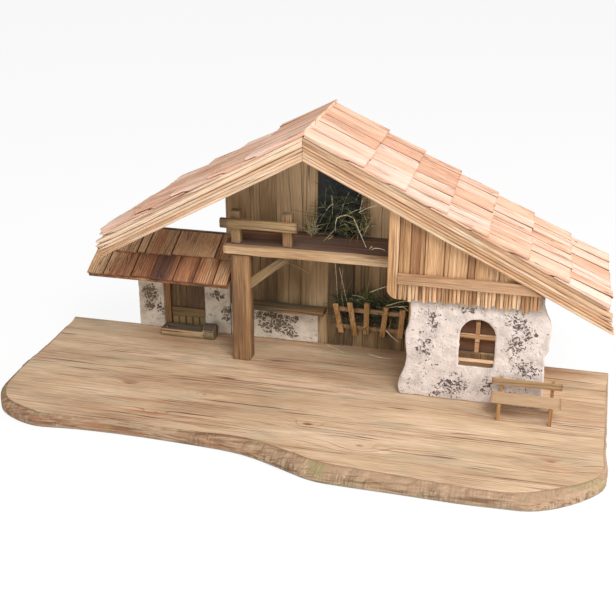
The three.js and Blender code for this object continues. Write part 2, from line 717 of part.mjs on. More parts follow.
// The lower verge board: square at the right end, split into two tongues at the left one
function lowerVerge({ name, side, vergeReach, at, prism }) {
  const [low, high] = [vergeFoot, vergeFoot + verge.lower];
  const end = (w) => at(vergeReach + (side < 0 ? verge.tip : 0), w);
  const section = [[at(fit, low), low], [end(low), low], [end(high), high], [at(fit, high), high]];
  const blank = prism(section, vergeFront, vergeBack);
  if (side > 0) return mesh(`verge_lower_${name}`, blank, pinkPine);
  const middle = (low + high) / 2;
  const mouth = end(middle) + verge.tip;
  const split = [
    [mouth - verge.splitLength, middle], [mouth, middle - verge.split], [mouth, middle + verge.split],
  ];
  const wedge = prism(split, vergeFront - past, vergeBack + past);
  return mesh(`verge_lower_${name}`, cut(blank, [wedge]), pinkPine);
}

function slopeCourses(slope, { first, pastBack, seams }) {
  const { side, reach, at, prism, name } = slope;
  const bed = roof.boardThickness + fit;
  const length = at(reach, bed) + shingle.pastEave;
  const { exposure, butts } = buttPlaces(length, first, seams.length);
  const ridgeHead = (w) => at(side > 0 ? ridgeShingle.past + fit : -ridgeShingle.past, w);
  const ridgeThickness = side > 0 ? ridgeShingle.rightThickness : ridgeShingle.leftThickness;
  return seams.map((shares, i) => {
    const row = {
      headAt: i === 0 ? ridgeHead : () => butts[i - 1] - shingle.lapped,
      headThickness: i === 0 ? ridgeThickness : shingle.head,
      butt: butts[i], bed, lift: shingleLift(exposure), seed: 5 * i + side,
      edges: shareEdges(shares, vergeFront - shingle.proud, roof.backOverhang + pastBack[i]),
    };
    return mesh(`${name}_course_${i + 1}`, course(prism, row), pinkPine);
  });
}

// What is sawn off the left eave, seen from above the slope
function eaveTrim({ side, reach, at }) {
  const edge = at(reach, 0) + shingle.pastEave + shingle.uneven;
  const [outer, back] = [edge + past, roof.backOverhang + past];
  const line = lineThrough(vergeFront, edge, roof.backOverhang, edge - leftEave.backShort);
  const corners = [[edge, vergeFront], [outer, vergeFront], [outer, back], [line(back), back]];
  const plan = outline(corners.map(([u, y]) => [side * u, y]));
  const depth = 2 * roof.boardThickness;
  return new THREE.ExtrudeGeometry(plan, { depth, bevelEnabled: false }).translate(0, 0, -past);
}

function roofSlope(side, courses) {
  const slope = slopeOf(side);
  const group = new THREE.Group();
  group.position.set(roof.ridgeX, 0, roof.ridgeHeight);
  group.rotation.y = side * radians(slope.pitch);
  const base = roofBoard(slope);
  const shingles = slopeCourses(slope, courses);
  if (side < 0) {
    [base, shingles.at(-1)].forEach((piece) => {
      piece.geometry = cut(piece.geometry, [eaveTrim(slope)]);
    });
  }
  group.add(base, upperVerge(slope), lowerVerge(slope), ...shingles);
  return group;
}

function nativityStable() {
  const stage = new THREE.Group();
  stage.position.set(0, board.depth / 2, board.thickness);
  stage.add(baseBoard(), ...backWalls(), ...backPieces());
  stage.add(annexWall(), annexDoorPost(), annexHalfDoor(), canopyRoof(), ...lowWallPieces(), logTrough());
  stage.add(loftPost(), kneeBrace(), ...loftPlatform(), ...loftRailing());
  stage.add(houseFront(), houseSide("house_side_left", house.left));
  stage.add(houseSide("house_side_right", house.right - house.sideThickness), gableBoard(), gableBatten());
  stage.add(hayRack(), hayInRack(), hayInLoft(), ...benchPieces());
  stage.add(roofSlope(1, rightCourses), roofSlope(-1, leftCourses));
  const stable = new THREE.Group();
  stable.add(stage);
  return stable;
}

export default nativityStable();
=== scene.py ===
# A wooden nativity stable: a hewn pine floor board with a plank back wall, a loft, a plastered house and
# annex, and a roof of pine shingles. Metres, +X right, +Y back, +Z up.
import random
from functools import partial
from math import cos, pi, radians, sin, sqrt, tan

import bmesh
import bpy
from mathutils import Matrix, Vector, noise


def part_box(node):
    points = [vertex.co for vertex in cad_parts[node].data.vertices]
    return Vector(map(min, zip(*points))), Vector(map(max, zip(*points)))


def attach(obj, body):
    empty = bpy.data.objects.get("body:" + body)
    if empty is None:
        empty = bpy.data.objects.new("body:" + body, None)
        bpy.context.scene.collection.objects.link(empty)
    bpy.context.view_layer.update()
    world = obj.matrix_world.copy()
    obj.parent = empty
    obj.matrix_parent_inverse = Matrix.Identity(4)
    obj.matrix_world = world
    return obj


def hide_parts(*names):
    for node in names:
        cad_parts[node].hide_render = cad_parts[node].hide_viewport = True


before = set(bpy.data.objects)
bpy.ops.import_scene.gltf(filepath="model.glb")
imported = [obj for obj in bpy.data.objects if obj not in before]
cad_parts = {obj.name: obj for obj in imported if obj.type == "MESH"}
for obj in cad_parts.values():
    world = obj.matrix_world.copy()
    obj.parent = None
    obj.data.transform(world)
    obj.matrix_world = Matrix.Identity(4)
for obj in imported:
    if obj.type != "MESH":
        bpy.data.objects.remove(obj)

MM = 0.001
BOARD_TOP, BOARD_BACK = 16, 156.5  # the floor board's top face, and its back edge in the part's frame
PITCH = {1: 26.1, -1: 28.4}  # the right and the left roof slope
CANOPY_PITCH, CANOPY_HEIGHT = 31.5, 137
BRACE_LEAN = 40
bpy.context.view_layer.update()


# Tools

def linear(hex_colour):
    """An sRGB hex colour as linear RGBA."""
    channels = [int(hex_colour[i:i + 2], 16) / 255 for i in (1, 3, 5)]
    return [c / 12.92 if c <= 0.04045 else ((c + 0.055) / 1.055) ** 2.4 for c in channels] + [1]


def add_node(tree, kind, inputs=(), out=0, stops=None, **settings):
    """Adds a node with its settings and links, and gives one output. Its operation may follow its kind.
    Inputs are values or outputs, in the order of the sockets or by key (a Map Range takes its value, what it
    runs from and to, and what that becomes), and stops are a ramp's places and hex colours."""
    kind, _, operation = kind.partition(" ")
    node = tree.nodes.new("ShaderNode" + kind)
    if operation:
        node.operation = operation
    for key, value in settings.items():
        setattr(node, key, value)
    for key, value in inputs.items() if isinstance(inputs, dict) else enumerate(inputs):
        if isinstance(value, bpy.types.NodeSocket):
            tree.links.new(value, node.inputs[key])
        else:
            node.inputs[key].default_value = value
    if stops:
        elements = node.color_ramp.elements
        elements[0].position, elements[0].color = stops[0][0], linear(stops[0][1])
        elements[-1].position, elements[-1].color = stops[-1][0], linear(stops[-1][1])
        for place, colour in stops[1:-1]:
            elements.new(place).color = linear(colour)
    return node.outputs[out] if len(node.outputs) else node


def begun(name):
    """An empty material, and the function that adds a node to it."""
    material = bpy.data.materials.new(name)
    material.use_nodes = True
    material.node_tree.nodes.clear()
    return material, partial(add_node, material.node_tree)


def finished(material, add, roughness, colour, height=None, relief=0.0):
    """Ends a material: a Principled surface with its colour, roughness and a bump relief millimetres high."""
    surface = {"Base Color": colour, "Roughness": roughness}
    if height:
        surface["Normal"] = add("Bump", {"Height": height, "Distance": relief * MM})
    add("OutputMaterial", {"Surface": add("BsdfPrincipled", surface)})
    return material


# Materials

def pine(name, turn, tones, late, ring=4.0, late_share=0.5, fibre=0.22, streak="#b06a3e", streak_share=0.5,
         crack=None, crack_share=0.8, knots=(), plank=None, relief=0.5, blotch=None, wander=1.0,
         edge="#7a4a2c", lift=None):
    """Brushed softwood. The grain runs along the turned X: soft pale wood between thin darker late-wood
    lines, ring millimetres apart, with fine fibres, long reddish streaks, cracks and slow changes of tone.
    A knot is its x, y and size, a plank its first edge and its width, and a lift is the two heights that the
    tone changes between and its two changes."""
    material, add = begun(name)
    place = add("TexCoord", out="Object")
    placed = add("Mapping", {"Vector": place, "Rotation": turn})
    shift = add("Attribute", out="Vector", attribute_name="shift")
    moved = add("VectorMath ADD", [placed, shift])
    own_tone = add("Attribute", out="Fac", attribute_name="tone")
    if plank:
        # Each plank has its own piece of wood
        across = add("SeparateXYZ", [placed], out="Y")
        number = add("Math MULTIPLY_ADD", [across, 1 / (plank[1] * MM), -plank[0] / plank[1]])
        number = add("Math FLOOR", [number])
        luck = add("TexWhiteNoise", {"W": number}, out="Color", noise_dimensions="1D")
        moved = add("VectorMath ADD", [moved, luck])
        luck = add("SeparateXYZ", [luck], out="X")
        own_tone = add("Math MULTIPLY_ADD", [luck, 0.22, -0.11])
    if lift:
        # The planks get paler towards the top: painted light up high, and painted shade low down where the loft
        # shades the wall
        high = add("SeparateXYZ", [place], out="Z")
        high = add("MapRange", [high, lift[0] * MM, lift[1] * MM, lift[2], lift[3]])
        own_tone = add("Math ADD", [own_tone, high])
    across = add("SeparateXYZ", [moved], out="Y")
    deep = add("SeparateXYZ", [moved], out="Z")
    # Noise stretched along the grain, by its waves to a metre along and across it: slow bends 200 mm long,
    # where the late-wood lines come and go, fibres (0.9 mm wide, coarser than real ones, so that they show),
    # slow changes of tone, and soft streaks 6 mm wide and 250 mm long
    stretched = []
    for along, athwart, detail in (5, 22, 2.0), (9, 160, 1.0), (45, 1100, 3.0), (6, 38, 3.0), (4, 170, 2.0):
        waves = add("VectorMath MULTIPLY", [moved, (along, athwart, athwart)])
        stretched.append(add("TexNoise", {"Vector": waves, "Scale": 1.0, "Detail": detail}))
    bend, fade, fibres, slow, long = stretched
    bend = add("Math MULTIPLY_ADD", [bend, 5 * wander, -2.5 * wander])
    # The grain swirls round each knot
    hearts = []
    for x, y, size in knots:
        off = add("VectorMath SUBTRACT", [moved, (x * MM, y * MM, 0)])
        off = add("VectorMath MULTIPLY", [off, (250 / size, 500 / size, 0)])
        off = add("VectorMath LENGTH", [off], out="Value")
        near = add("Math MULTIPLY", [off, off])
        near = add("Math MULTIPLY", [near, -1.0])
        near = add("Math EXPONENT", [near])
        swirl = add("Math MULTIPLY_ADD", [across, -1 / (ring * MM), 2.6 + y / ring])
        bend = add("Math MULTIPLY_ADD", [swirl, near, bend])
        hearts.append((off, near))
    rings = add("Math MULTIPLY_ADD", [deep, 0.6, across])
    rings = add("Math MULTIPLY_ADD", [rings, 1 / (ring * MM), bend])
    phase = add("Math FRACT", [rings])
    age = add("Math FLOOR", [rings])
    age = add("TexWhiteNoise", {"W": age}, noise_dimensions="1D")
    age = add("Math POWER", [age, 1.5])
    line = add("ValToRGB", [phase], stops=[
        (0, "#000000"), (0.55, "#000000"), (0.84, "#ffffff"), (0.92, "#ffffff"), (1, "#000000")])
    fade = add("MapRange", [fade, 0.38, 0.6])
    for off, near in hearts:
        fade = add("Math ADD", [fade, near], use_clamp=True)
        age = add("Math MULTIPLY_ADD", [near, 0.35, age])
    late_wood = add("Math MULTIPLY", [line, age])
    late_wood = add("Math MULTIPLY", [late_wood, fade])
    slow = add("Math ADD", [slow, own_tone])
    last = len(tones) - 1
    colour = add("ValToRGB", [slow], stops=[(0.32 + 0.36 * i / last, c) for i, c in enumerate(tones)])
    share = add("Math MULTIPLY", [late_wood, late_share], use_clamp=True)
    long = add("MapRange", [long, 0.66 - 0.1 * streak_share, 0.74, 0, 0.75])
    layers = [(share, late), (long, streak)]
    if blotch:
        spots = add("VectorMath MULTIPLY", [moved, (14, 40, 40)])
        spots = add("TexNoise", {"Vector": spots, "W": 3.0, "Scale": 1.0}, noise_dimensions="4D")
        spots = add("MapRange", [spots, 0.54, 0.68, 0, 0.55])
        layers.append((spots, blotch))
    for share, tint in layers:
        colour = add("Mix", {0: share, 6: colour, 7: linear(tint)}, out=2, data_type="RGBA")
    fine = add("MapRange", [fibres, 0.3, 0.7, 1 - fibre, 1 + fibre * 0.5])
    colour = add("VectorMath SCALE", {0: colour, "Scale": fine})
    layers = []
    for off, near in hearts:
        layers.append((add("MapRange", [off, 0.15, 0.06, 0, 0.6]), late))
    height = add("Math MULTIPLY_ADD", [late_wood, 1.2, fibres])
    if crack:
        # Hairline cracks: where a slow noise along the grain crosses its middle value
        hair = add("VectorMath MULTIPLY", [moved, (2.6, 150, 150)])
        hair = add("TexNoise", {"Vector": hair, "Scale": 1.0, "Detail": 1.0})
        hair = add("Math SUBTRACT", [hair, 0.5])
        hair = add("Math ABSOLUTE", [hair])
        hair = add("MapRange", [hair, 0, 0.022, 1.0, 0.0])
        where = add("VectorMath MULTIPLY", [moved, (7, 45, 45)])
        where = add("TexNoise", {"Vector": where, "W": 7.0, "Scale": 1.0}, noise_dimensions="4D")
        where = add("MapRange", [where, 0.5, 0.57, 0, crack_share])
        hair = add("Math MULTIPLY", [hair, where])
        layers.append((hair, crack))
        height = add("Math MULTIPLY_ADD", [hair, -1.5, height])
    # The rim attribute mixes in the edge colour: darker end grain on timbers, the trough's dark end, and painted
    # shade in the seams, splits, joints and grooves of shingles, verge strands and gable planks
    rim = add("Attribute", out="Fac", attribute_name="rim")
    layers.append((add("Math MULTIPLY", [rim, 0.85], use_clamp=True), edge))
    for share, tint in layers:
        colour = add("Mix", {0: share, 6: colour, 7: linear(tint)}, out=2, data_type="RGBA")
    return finished(material, add, 0.72, colour, height, relief)


def hewn_pine(name):
    """Pine worked with a gouge: torn fibres in brown, orange and pale stripes along the edge, and the ticks
    that the gouge left across it, about 2 mm apart."""
    material, add = begun(name)
    place = add("TexCoord", out="Object")
    torn = add("VectorMath MULTIPLY", [place, (20, 300, 300)])
    torn = add("TexNoise", {"Vector": torn, "Scale": 1.0, "Detail": 4.0, "Distortion": 0.3})
    colour = add("ValToRGB", [torn], stops=[
        (0.3, "#553d2b"), (0.4, "#7c5d42"), (0.48, "#96775a"), (0.56, "#ab9176"), (0.64, "#8f7153"),
        (0.74, "#735a40")])
    ticks = add("VectorMath MULTIPLY", [place, (520, 60, 60)])
    ticks = add("TexNoise", {"Vector": ticks, "Scale": 1.0})
    ticks = add("MapRange", [ticks, 0.48, 0.62])
    where = add("TexNoise", {"Vector": place, "Scale": 14.0, "Detail": 1.0})
    where = add("MapRange", [where, 0.42, 0.56, 0, 0.65])
    ticks = add("Math MULTIPLY", [ticks, where])
    level = add("SeparateXYZ", [place], out="Z")
    right = add("SeparateXYZ", [place], out="X")
    right = add("MapRange", [right, -0.08, 0.06, 0.1])
    # Orange and dark streaks along the bevel, most of them at the left
    long = add("VectorMath MULTIPLY", [place, (9, 250, 250)])
    long = add("TexNoise", {"Vector": long, "Scale": 1.0})
    long = add("MapRange", [long, 0.5, 0.58, 0, 0.7])
    long = add("Math SUBTRACT", [long, right], use_clamp=True)
    # Towards the right the upper part of the bevel is paler and has no ticks
    top = add("TexNoise", {"Vector": place, "Scale": 60.0})
    top = add("Math MULTIPLY_ADD", [top, 0.008, level])
    top = add("MapRange", [top, 0.0125, 0.0155, 0, 0.7])
    top = add("Math MULTIPLY", [top, right])
    below = add("Math SUBTRACT", [1.0, top])
    ticks = add("Math MULTIPLY", [ticks, below])
    # Greenish patches
    green = add("TexNoise", {"Vector": place, "Scale": 38.0})
    green = add("MapRange", [green, 0.56, 0.68, 0, 0.55])
    # The foot of the edge has gone grey
    foot = add("MapRange", [level, 0.0045, 0.001, 0, 0.6])
    rim = add("Attribute", out="Fac", attribute_name="rim")
    rim = add("Math POWER", [rim, 2.0])
    rim = add("Math MULTIPLY", [rim, 0.5], use_clamp=True)
    layers = [(long, "#8c522f"), (ticks, "#79644a"), (top, "#a6886c"), (green, "#8f875c"), (foot, "#8d8676"),
              (rim, "#74482e")]
    for share, tint in layers:
        colour = add("Mix", {0: share, 6: colour, 7: linear(tint)}, out=2, data_type="RGBA")
    height = add("Math MULTIPLY_ADD", [ticks, -1.0, torn])
    return finished(material, add, 0.8, colour, height, 1.4)


def lime_plaster(name, patches, dark, shades, grain, sparse, spread, stones=None, stain=None):
    """Brushed lime plaster: off-white, faintly pink and grey, with a fine trowel texture and dark specks
    gathered in patches, each given by its middle and its half width and height on the wall. With stones it is
    painted with small brown stones, white lines between them."""
    material, add = begun(name)
    place = add("TexCoord", out="Object")
    shade = add("TexNoise", {"Vector": place, "Scale": 70.0, "Detail": 4.0})
    colour = add("ValToRGB", [shade], stops=[(0.3 + 0.15 * i, c) for i, c in enumerate(shades)])
    warp = add("TexNoise", {"Vector": place, "Scale": 160.0, "Detail": 3.0}, out="Color")
    warp = add("VectorMath SUBTRACT", [warp, (0.5, 0.5, 0.5)])
    warp = add("VectorMath SCALE", {0: warp, "Scale": 0.016})
    bent = add("VectorMath ADD", [place, warp])
    cover = 0.0
    for x, z, width, high in patches:
        off = add("VectorMath SUBTRACT", [bent, (x * MM, 0, (z + BOARD_TOP) * MM)])
        off = add("VectorMath MULTIPLY", [off, (1000 / width / spread, 0, 1000 / high / spread)])
        off = add("VectorMath LENGTH", [off], out="Value")
        off = add("MapRange", [off, 1.1, 0.3])
        cover = add("Math MAXIMUM", [cover, off])
    speck = add("TexNoise", {"Vector": bent, "Scale": grain, "Detail": 3.0})
    speck = add("Math MULTIPLY_ADD", [cover, 0.17, speck])
    speck = add("MapRange", [speck, sparse, sparse + 0.035, 0, 0.9])
    brown = add("ValToRGB", [shade], stops=[(0.4, dark[0]), (0.6, dark[1])])
    if stones:
        # Stones about 5 mm across
        turned = add("VectorMath SCALE", {0: warp, "Scale": 0.25})
        turned = add("VectorMath ADD", [place, turned])
        gap = add("TexVoronoi", {"Vector": turned, "Scale": stones}, feature="DISTANCE_TO_EDGE")
        gap = add("MapRange", [gap, 0.06, 0.14])
        inside = add("MapRange", [cover, 0.26, 0.45, 0, 0.9])
        stone = add("Math MULTIPLY", [gap, inside])
        speck = add("Math MAXIMUM", [speck, stone])
    colour = add("Mix", {0: speck, 6: colour, 7: brown}, out=2, data_type="RGBA")
    if stain:
        # The top of the wall, under the fringe, is a little darker and browner: grey stains, with painted shade
        # where the fringe overhangs it
        height = add("SeparateXYZ", [bent], out="Z")
        damp = add("MapRange", [height, (stain + 6) * MM, (stain + 18) * MM])
        damp = add("Math MULTIPLY", [damp, shade])
        colour = add("Mix", {0: damp, 6: colour, 7: linear("#8f8672")}, out=2, data_type="RGBA")
    lump = add("TexNoise", {"Vector": place, "Scale": 380.0, "Detail": 4.0})
    lump = add("Math MULTIPLY_ADD", [speck, -0.25, lump])
    return finished(material, add, 0.93, colour, lump, 0.9)


def dried_grass(name, tones):
    """Hay. Each stalk keeps one tone of its own, from nearly black green to bleached straw; the darkest tones are
    painted shade deep in the clumps.
    """
    material, add = begun(name)
    tone = add("Attribute", out="Fac", attribute_name="tone")
    last = len(tones) - 1
    colour = add("ValToRGB", [tone], stops=[(i / last, c) for i, c in enumerate(tones)])
    place = add("TexCoord", out="Object")
    mottle = add("TexNoise", {"Vector": place, "Scale": 260.0})
    mottle = add("MapRange", [mottle, 0.35, 0.65, 0.75, 1.15])
    colour = add("VectorMath SCALE", {0: colour, "Scale": mottle})
    return finished(material, add, 0.65, colour)


# How each timber's grain is turned
DOWN_RIGHT = (0, radians(-PITCH[1]), 0)
DOWN_LEFT = (0, radians(PITCH[-1]), 0)
UPRIGHT = (radians(90), 0, radians(90))
LEVEL = (0, 0, 0)
TO_BACK = (0, 0, radians(-90))
DOWN_FRONT = (radians(-CANOPY_PITCH), 0, radians(90))
DOWN_BRACE = (0, radians(BRACE_LEAN), 0)

floor_pine = pine("brushed_pine_floor", LEVEL, ["#b3906f", "#c3a281", "#cfb18f", "#dcbe9f"], "#8c4c2c", ring=5.0,
                  late_share=0.68, streak="#b8734a", streak_share=0.4, crack="#6a2f1b", crack_share=1.0,
                  blotch="#b8a68a", fibre=0.3, knots=[
                      (-208, -14, 7), (-110, -20, 6), (92, -92, 9), (296, -76, 9), (25, -60, 5), (-150, -75, 5)])
edge_pine = hewn_pine("gouged_pine_edge")
roof = dict(tones=["#dca88a", "#e8b89b", "#efc4ab", "#f2d0bd"], late="#b06a42", ring=3.2, late_share=0.58,
            streak="#d08c62", crack="#844626", crack_share=0.9, blotch="#e6d2b4", relief=0.6)
roof_right_pine = pine("brushed_pine_shingle_right", DOWN_RIGHT, **roof)
roof_left_pine = pine("brushed_pine_shingle_left", DOWN_LEFT, **roof)
verge = dict(tones=["#b58b64", "#cba480", "#dbb898", "#e6c8ac"], late="#a86c42", ring=1.9, late_share=0.55,
             streak="#cb875a", crack="#85502f", crack_share=0.75, blotch="#cfc0a2", relief=0.7, fibre=0.26)
verge_right_pine = pine("brushed_pine_verge_right", DOWN_RIGHT, **verge)
verge_left_pine = pine("brushed_pine_verge_left", DOWN_LEFT, **verge)
# The back wall's lift is painted light and shade: paler up high, darker low down under the loft
wall_pine = pine("grey_stained_pine_planks", UPRIGHT, ["#5f4a33", "#77603f", "#8f7450", "#a88b64", "#b99c76"],
                 "#46321f", ring=4.4, late_share=0.7, streak="#5c4029", streak_share=0.7, crack="#38261a",
                 plank=(-135.5, 34), relief=0.6, lift=(110, 215, -0.1, 0.16))
gable_pine = pine("brushed_pine_gable", UPRIGHT, ["#9c7049", "#bd9062", "#d2a67a", "#dfba92"], "#6e4524",
                  ring=3.0, late_share=0.8, streak="#7f4c28", streak_share=0.9, crack="#4f2e18",
                  crack_share=0.85, relief=0.9, wander=0.5, fibre=0.34)
batten_pine = pine("brushed_pine_batten", LEVEL, ["#a27c58", "#ba9370", "#ccaa86"], "#855230", ring=2.4,
                   late_share=0.7, streak="#a8542c", streak_share=0.8, crack="#6a3a20", fibre=0.3)
stock_pine = pine("stained_pine_stock", LEVEL, ["#9d7952", "#b38f68", "#c4a27c", "#d0b08a"], "#6f4526",
                  ring=2.8, late_share=0.6, streak="#a05f36", streak_share=0.6, crack="#5f3a20",
                  crack_share=0.7, fibre=0.28)
bench_pine = pine("stained_pine_bench", LEVEL, ["#a28360", "#b69672", "#c4a382"], "#80603a", ring=2.6,
                  streak="#a88a58", streak_share=0.4, crack="#6a4c2c", crack_share=0.6)
sill_pine = pine("orange_pine_sill", LEVEL, ["#70563a", "#806444", "#8e7250"], "#6c4a2c", ring=2.4)
post_pine = pine("stained_pine_post", UPRIGHT, ["#7e5c3c", "#946f49", "#a98259", "#b8946c"], "#4a2e18",
                 ring=2.4, late_share=1.0, streak="#9c6236", streak_share=0.8, crack="#3f2814", relief=0.9,
                 fibre=0.34)
rail_pine = pine("stained_pine_rail", LEVEL, ["#635136", "#7c6541", "#947950", "#a88b63"], "#54361e", ring=2.4,
                 late_share=0.8, streak="#96602f", streak_share=0.6, crack="#3f2814", fibre=0.34,
                 edge="#4a4033")
rail_post_pine = pine("grey_topped_pine_post", UPRIGHT, ["#7e6242", "#957550", "#aa8a62"], "#54361e", ring=2.4,
                      late_share=0.7, crack="#3f2814", fibre=0.3, edge="#77725f")
brace_pine = pine("grey_pine_brace", DOWN_BRACE, ["#665238", "#7a6646", "#907852"], "#a5622e", ring=3.6,
                  late_share=0.8, streak="#a8683a", streak_share=0.7, crack="#4a3018", crack_share=0.6,
                  fibre=0.3)
slat_pine = pine("stained_pine_slat", UPRIGHT, ["#9f7b4e", "#bb8f58", "#d0a36c", "#dab080"], "#5c3c20",
                 ring=2.0, late_share=0.7, streak="#a5622e", streak_share=0.8, crack="#4a3018", crack_share=0.7,
                 relief=0.7, fibre=0.3)
# The shelf's dark grey tones are painted shade, as it lies in the loft's shade; its orange is the wood's own
shelf_pine = pine("weathered_pine_shelf", LEVEL, ["#4f4a3c", "#5f5644", "#75603f", "#9a6c40"], "#3a3024",
                  ring=2.6, late_share=0.6, streak="#8f5c34", crack="#2f261c", relief=1.0)
# The loft floor's dark tones are painted shade under the roof
dark_pine = pine("dark_stained_pine", LEVEL, ["#4f4036", "#604c42", "#725a4a"], "#38291f", ring=3.5)
# The loft door panel is near black: painted shade in the loft behind the hay
night_pine = pine("blackened_pine", UPRIGHT, ["#16191b", "#1e2222", "#292a26"], "#0e0f10", ring=3.5,
                  streak="#2b2740", streak_share=0.8)
# The window panel is a dark board that stands in for what closes the back window, which can't be seen
window_pine = pine("umber_stained_pine", LEVEL, ["#5c4034", "#6a4c3a", "#775843"], "#40291f", ring=3.5)
canopy_pine = pine("stained_pine_canopy", DOWN_FRONT, ["#5f4234", "#835a44", "#a5704c", "#bd875e", "#d0a87e"],
                   "#4c2e20", ring=1.7, late_share=0.85, streak="#cc8a56", streak_share=0.8, crack="#472a1c",
                   relief=0.9, fibre=0.32)
side_pine = pine("pine_side_boards", TO_BACK, ["#b08a62", "#c29c72", "#cfae84"], "#86552f")
leg_pine = pine("orange_pine_leg", UPRIGHT, ["#93693e", "#a67b4d", "#b58c60"], "#7c4f26", ring=2.2,
                late_share=0.6)
trough_pine = pine("rough_log", LEVEL, ["#5d4f3c", "#85724f", "#a8926c", "#b7a27c"], "#41301f", ring=2.2,
                   late_share=0.6, crack="#35281a", relief=1.0, edge="#463527")
plaster = lime_plaster("lime_plaster_house", [
    (178, 18, 19, 17), (216, 24, 8, 14), (248, 106, 16, 15), (260, 92, 10, 12), (260, 50, 19, 14),
    (246, 78, 11, 16), (150, 100, 10, 22), (143, 64, 9, 18), (192, 117, 12, 7), (240, 14, 14, 9), (160, 8, 12, 8)],
    ("#4a3029", "#34231f"), ["#bdb1aa", "#cdc0b8", "#d8cbc2", "#cbbfc0"], 290.0, 0.64, 1.12, stain=122)
annex_plaster = lime_plaster("lime_plaster_annex", [
    (-244, 50, 10, 12), (-247, 31, 7, 7), (-229, 29, 6, 7), (-148, 56, 8, 6), (-136, 30, 7, 10), (-88, 31, 9, 6),
    (-72, 34, 12, 6), (-63, 22, 14, 9), (-79, 14, 6, 6), (-47, 31, 9, 5), (-49, 12, 8, 6), (-85, 20, 6, 5)],
    ("#62513a", "#46382a"), ["#b7ab99", "#cdc1b0", "#dacebe", "#c2b7a6"], 260.0, 0.65, 1.4, stones=185.0)
hay_stalks = dried_grass("meadow_hay", ["#14171a", "#2c3228", "#4c5436", "#7d8348", "#c8bc86", "#ece2c6"])


# Pieces. Places are in millimetres in the stage frame, whose origin is the middle of the back edge of the
# floor board's top face, so that y = -d lies d in front of it

STAGE = Matrix.Scale(MM, 4) @ Matrix.Translation((0, BOARD_BACK, BOARD_TOP))
RIDGE_X, RIDGE_HEIGHT = -2, 300
VERGE_FRONT = -132.3  # the front of the verge boards
ROOF_BACK, ROOF_BOARD = 30, 8  # the roof boards' reach behind the floor board, and their thickness
FIT = 0.3  # clearance to a sloping or turned neighbour, as in the CAD


def slope(side):
    """The stage frame turned into a roof slope: u down it, y along the roof, w out of it."""
    turn = Matrix.Rotation(side * radians(PITCH[side]), 4, "Y")
    return STAGE @ Matrix.Translation((RIDGE_X, 0, RIDGE_HEIGHT)) @ turn @ Matrix.Diagonal((side, 1, 1, 1))


def uneven(index):
    """A fixed value between -1 and 1 for each whole number, as in the CAD."""
    return sin(index * 2.4) * cos(index * 5.1)


def rough(a, b, c=0.0):
    """Smooth noise around 0, whose waves are about 1 long."""
    return noise.noise(Vector((a, b, c)))


def lerp(a, b, share):
    """The value that lies this share of the way from a to b."""
    return a + (b - a) * share


def in_scene(name, data):
    """A new object with this data, in the scene."""
    made = bpy.data.objects.new(name, data)
    bpy.context.scene.collection.objects.link(made)
    return made


def wear(made, width, angle):
    """Rounds the edges that are sharper than an angle."""
    edge = made.modifiers.new("worn_edges", "BEVEL")
    edge.width, edge.segments, edge.limit_method, edge.angle_limit = width * MM, 2, "ANGLE", radians(angle)


def piece(name, bm, materials, *nodes, slot, bevel=0.0, smooth=False):
    """Makes a finished piece of a bmesh whose points are already in their place in the world."""
    bmesh.ops.recalc_face_normals(bm, faces=bm.faces)
    mesh = bpy.data.meshes.new(name)
    bm.to_mesh(mesh)
    bm.free()
    for material in materials:
        mesh.materials.append(material)
    if smooth:
        mesh.shade_smooth()
    made = in_scene(name, mesh)
    if bevel:
        wear(made, bevel, 40)
    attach(made, "root")
    if nodes:
        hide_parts(*nodes)


def mark(bm, start, tone, shift=(0, 0, 0)):
    """Gives the vertices from start on one tone and one place in the grain."""
    tones = bm.verts.layers.float.get("tone") or bm.verts.layers.float.new("tone")
    shifts = bm.verts.layers.float_vector.get("shift") or bm.verts.layers.float_vector.new("shift")
    bm.verts.ensure_lookup_table()
    for vert in bm.verts[start:]:
        vert[tones] = tone
        vert[shifts] = shift


def block(bm, cuts, shape, place, tone, shift):
    """A block divided along its sides, whose unit place (three shares) goes through shape, in one tone and
    one place in the grain. Shape may also give how dark the point's rim is."""
    rims = bm.verts.layers.float.get("rim") or bm.verts.layers.float.new("rim")
    start = len(bm.verts)
    bmesh.ops.create_cube(bm, size=1)
    for axis, count in enumerate(cuts):
        if count:
            bm.verts.ensure_lookup_table()
            edges = {e for v in bm.verts[start:] for e in v.link_edges}
            lengthwise = [e for e in edges if abs((e.verts[0].co - e.verts[1].co)[axis]) > 0.4]
            bmesh.ops.subdivide_edges(bm, edges=lengthwise, cuts=count, use_grid_fill=True)
    bm.verts.ensure_lookup_table()
    for vert in bm.verts[start:]:
        x, y, z, *rim = shape(*(c + 0.5 for c in vert.co))
        vert.co = place @ Vector((x, y, z))
        vert[rims] = rim[0] if rim else 0
    mark(bm, start, tone, shift)


def line_through(u0, w0, u1, w1):
    """The straight line through two points, as a function."""
    return lambda u: w0 + (w1 - w0) * (u - u0) / (u1 - u0)


# Shingles

SHINGLE_HEAD, SHINGLE_BUTT = 0.9, 2.7  # thickness at the upper and the lower end
LAPPED, SEAM, RIB = 18, 1.3, 3.1  # the length under the next course, the gap between two, the ribs' spacing
# The first course of each slope: its head, level from the ridge, and its thickness there
RIDGE_HEAD, RIDGE_THICKNESS = {1: 2.6, -1: -3}, {1: 2.8, -1: 4.4}


def shingle_lift(exposure):
    """How far a course's butt stands off its bed, so that it clears the course below."""
    share = LAPPED / (exposure + LAPPED)
    return (SHINGLE_HEAD + (SHINGLE_BUTT - SHINGLE_HEAD) * share + FIT) / (1 - share)


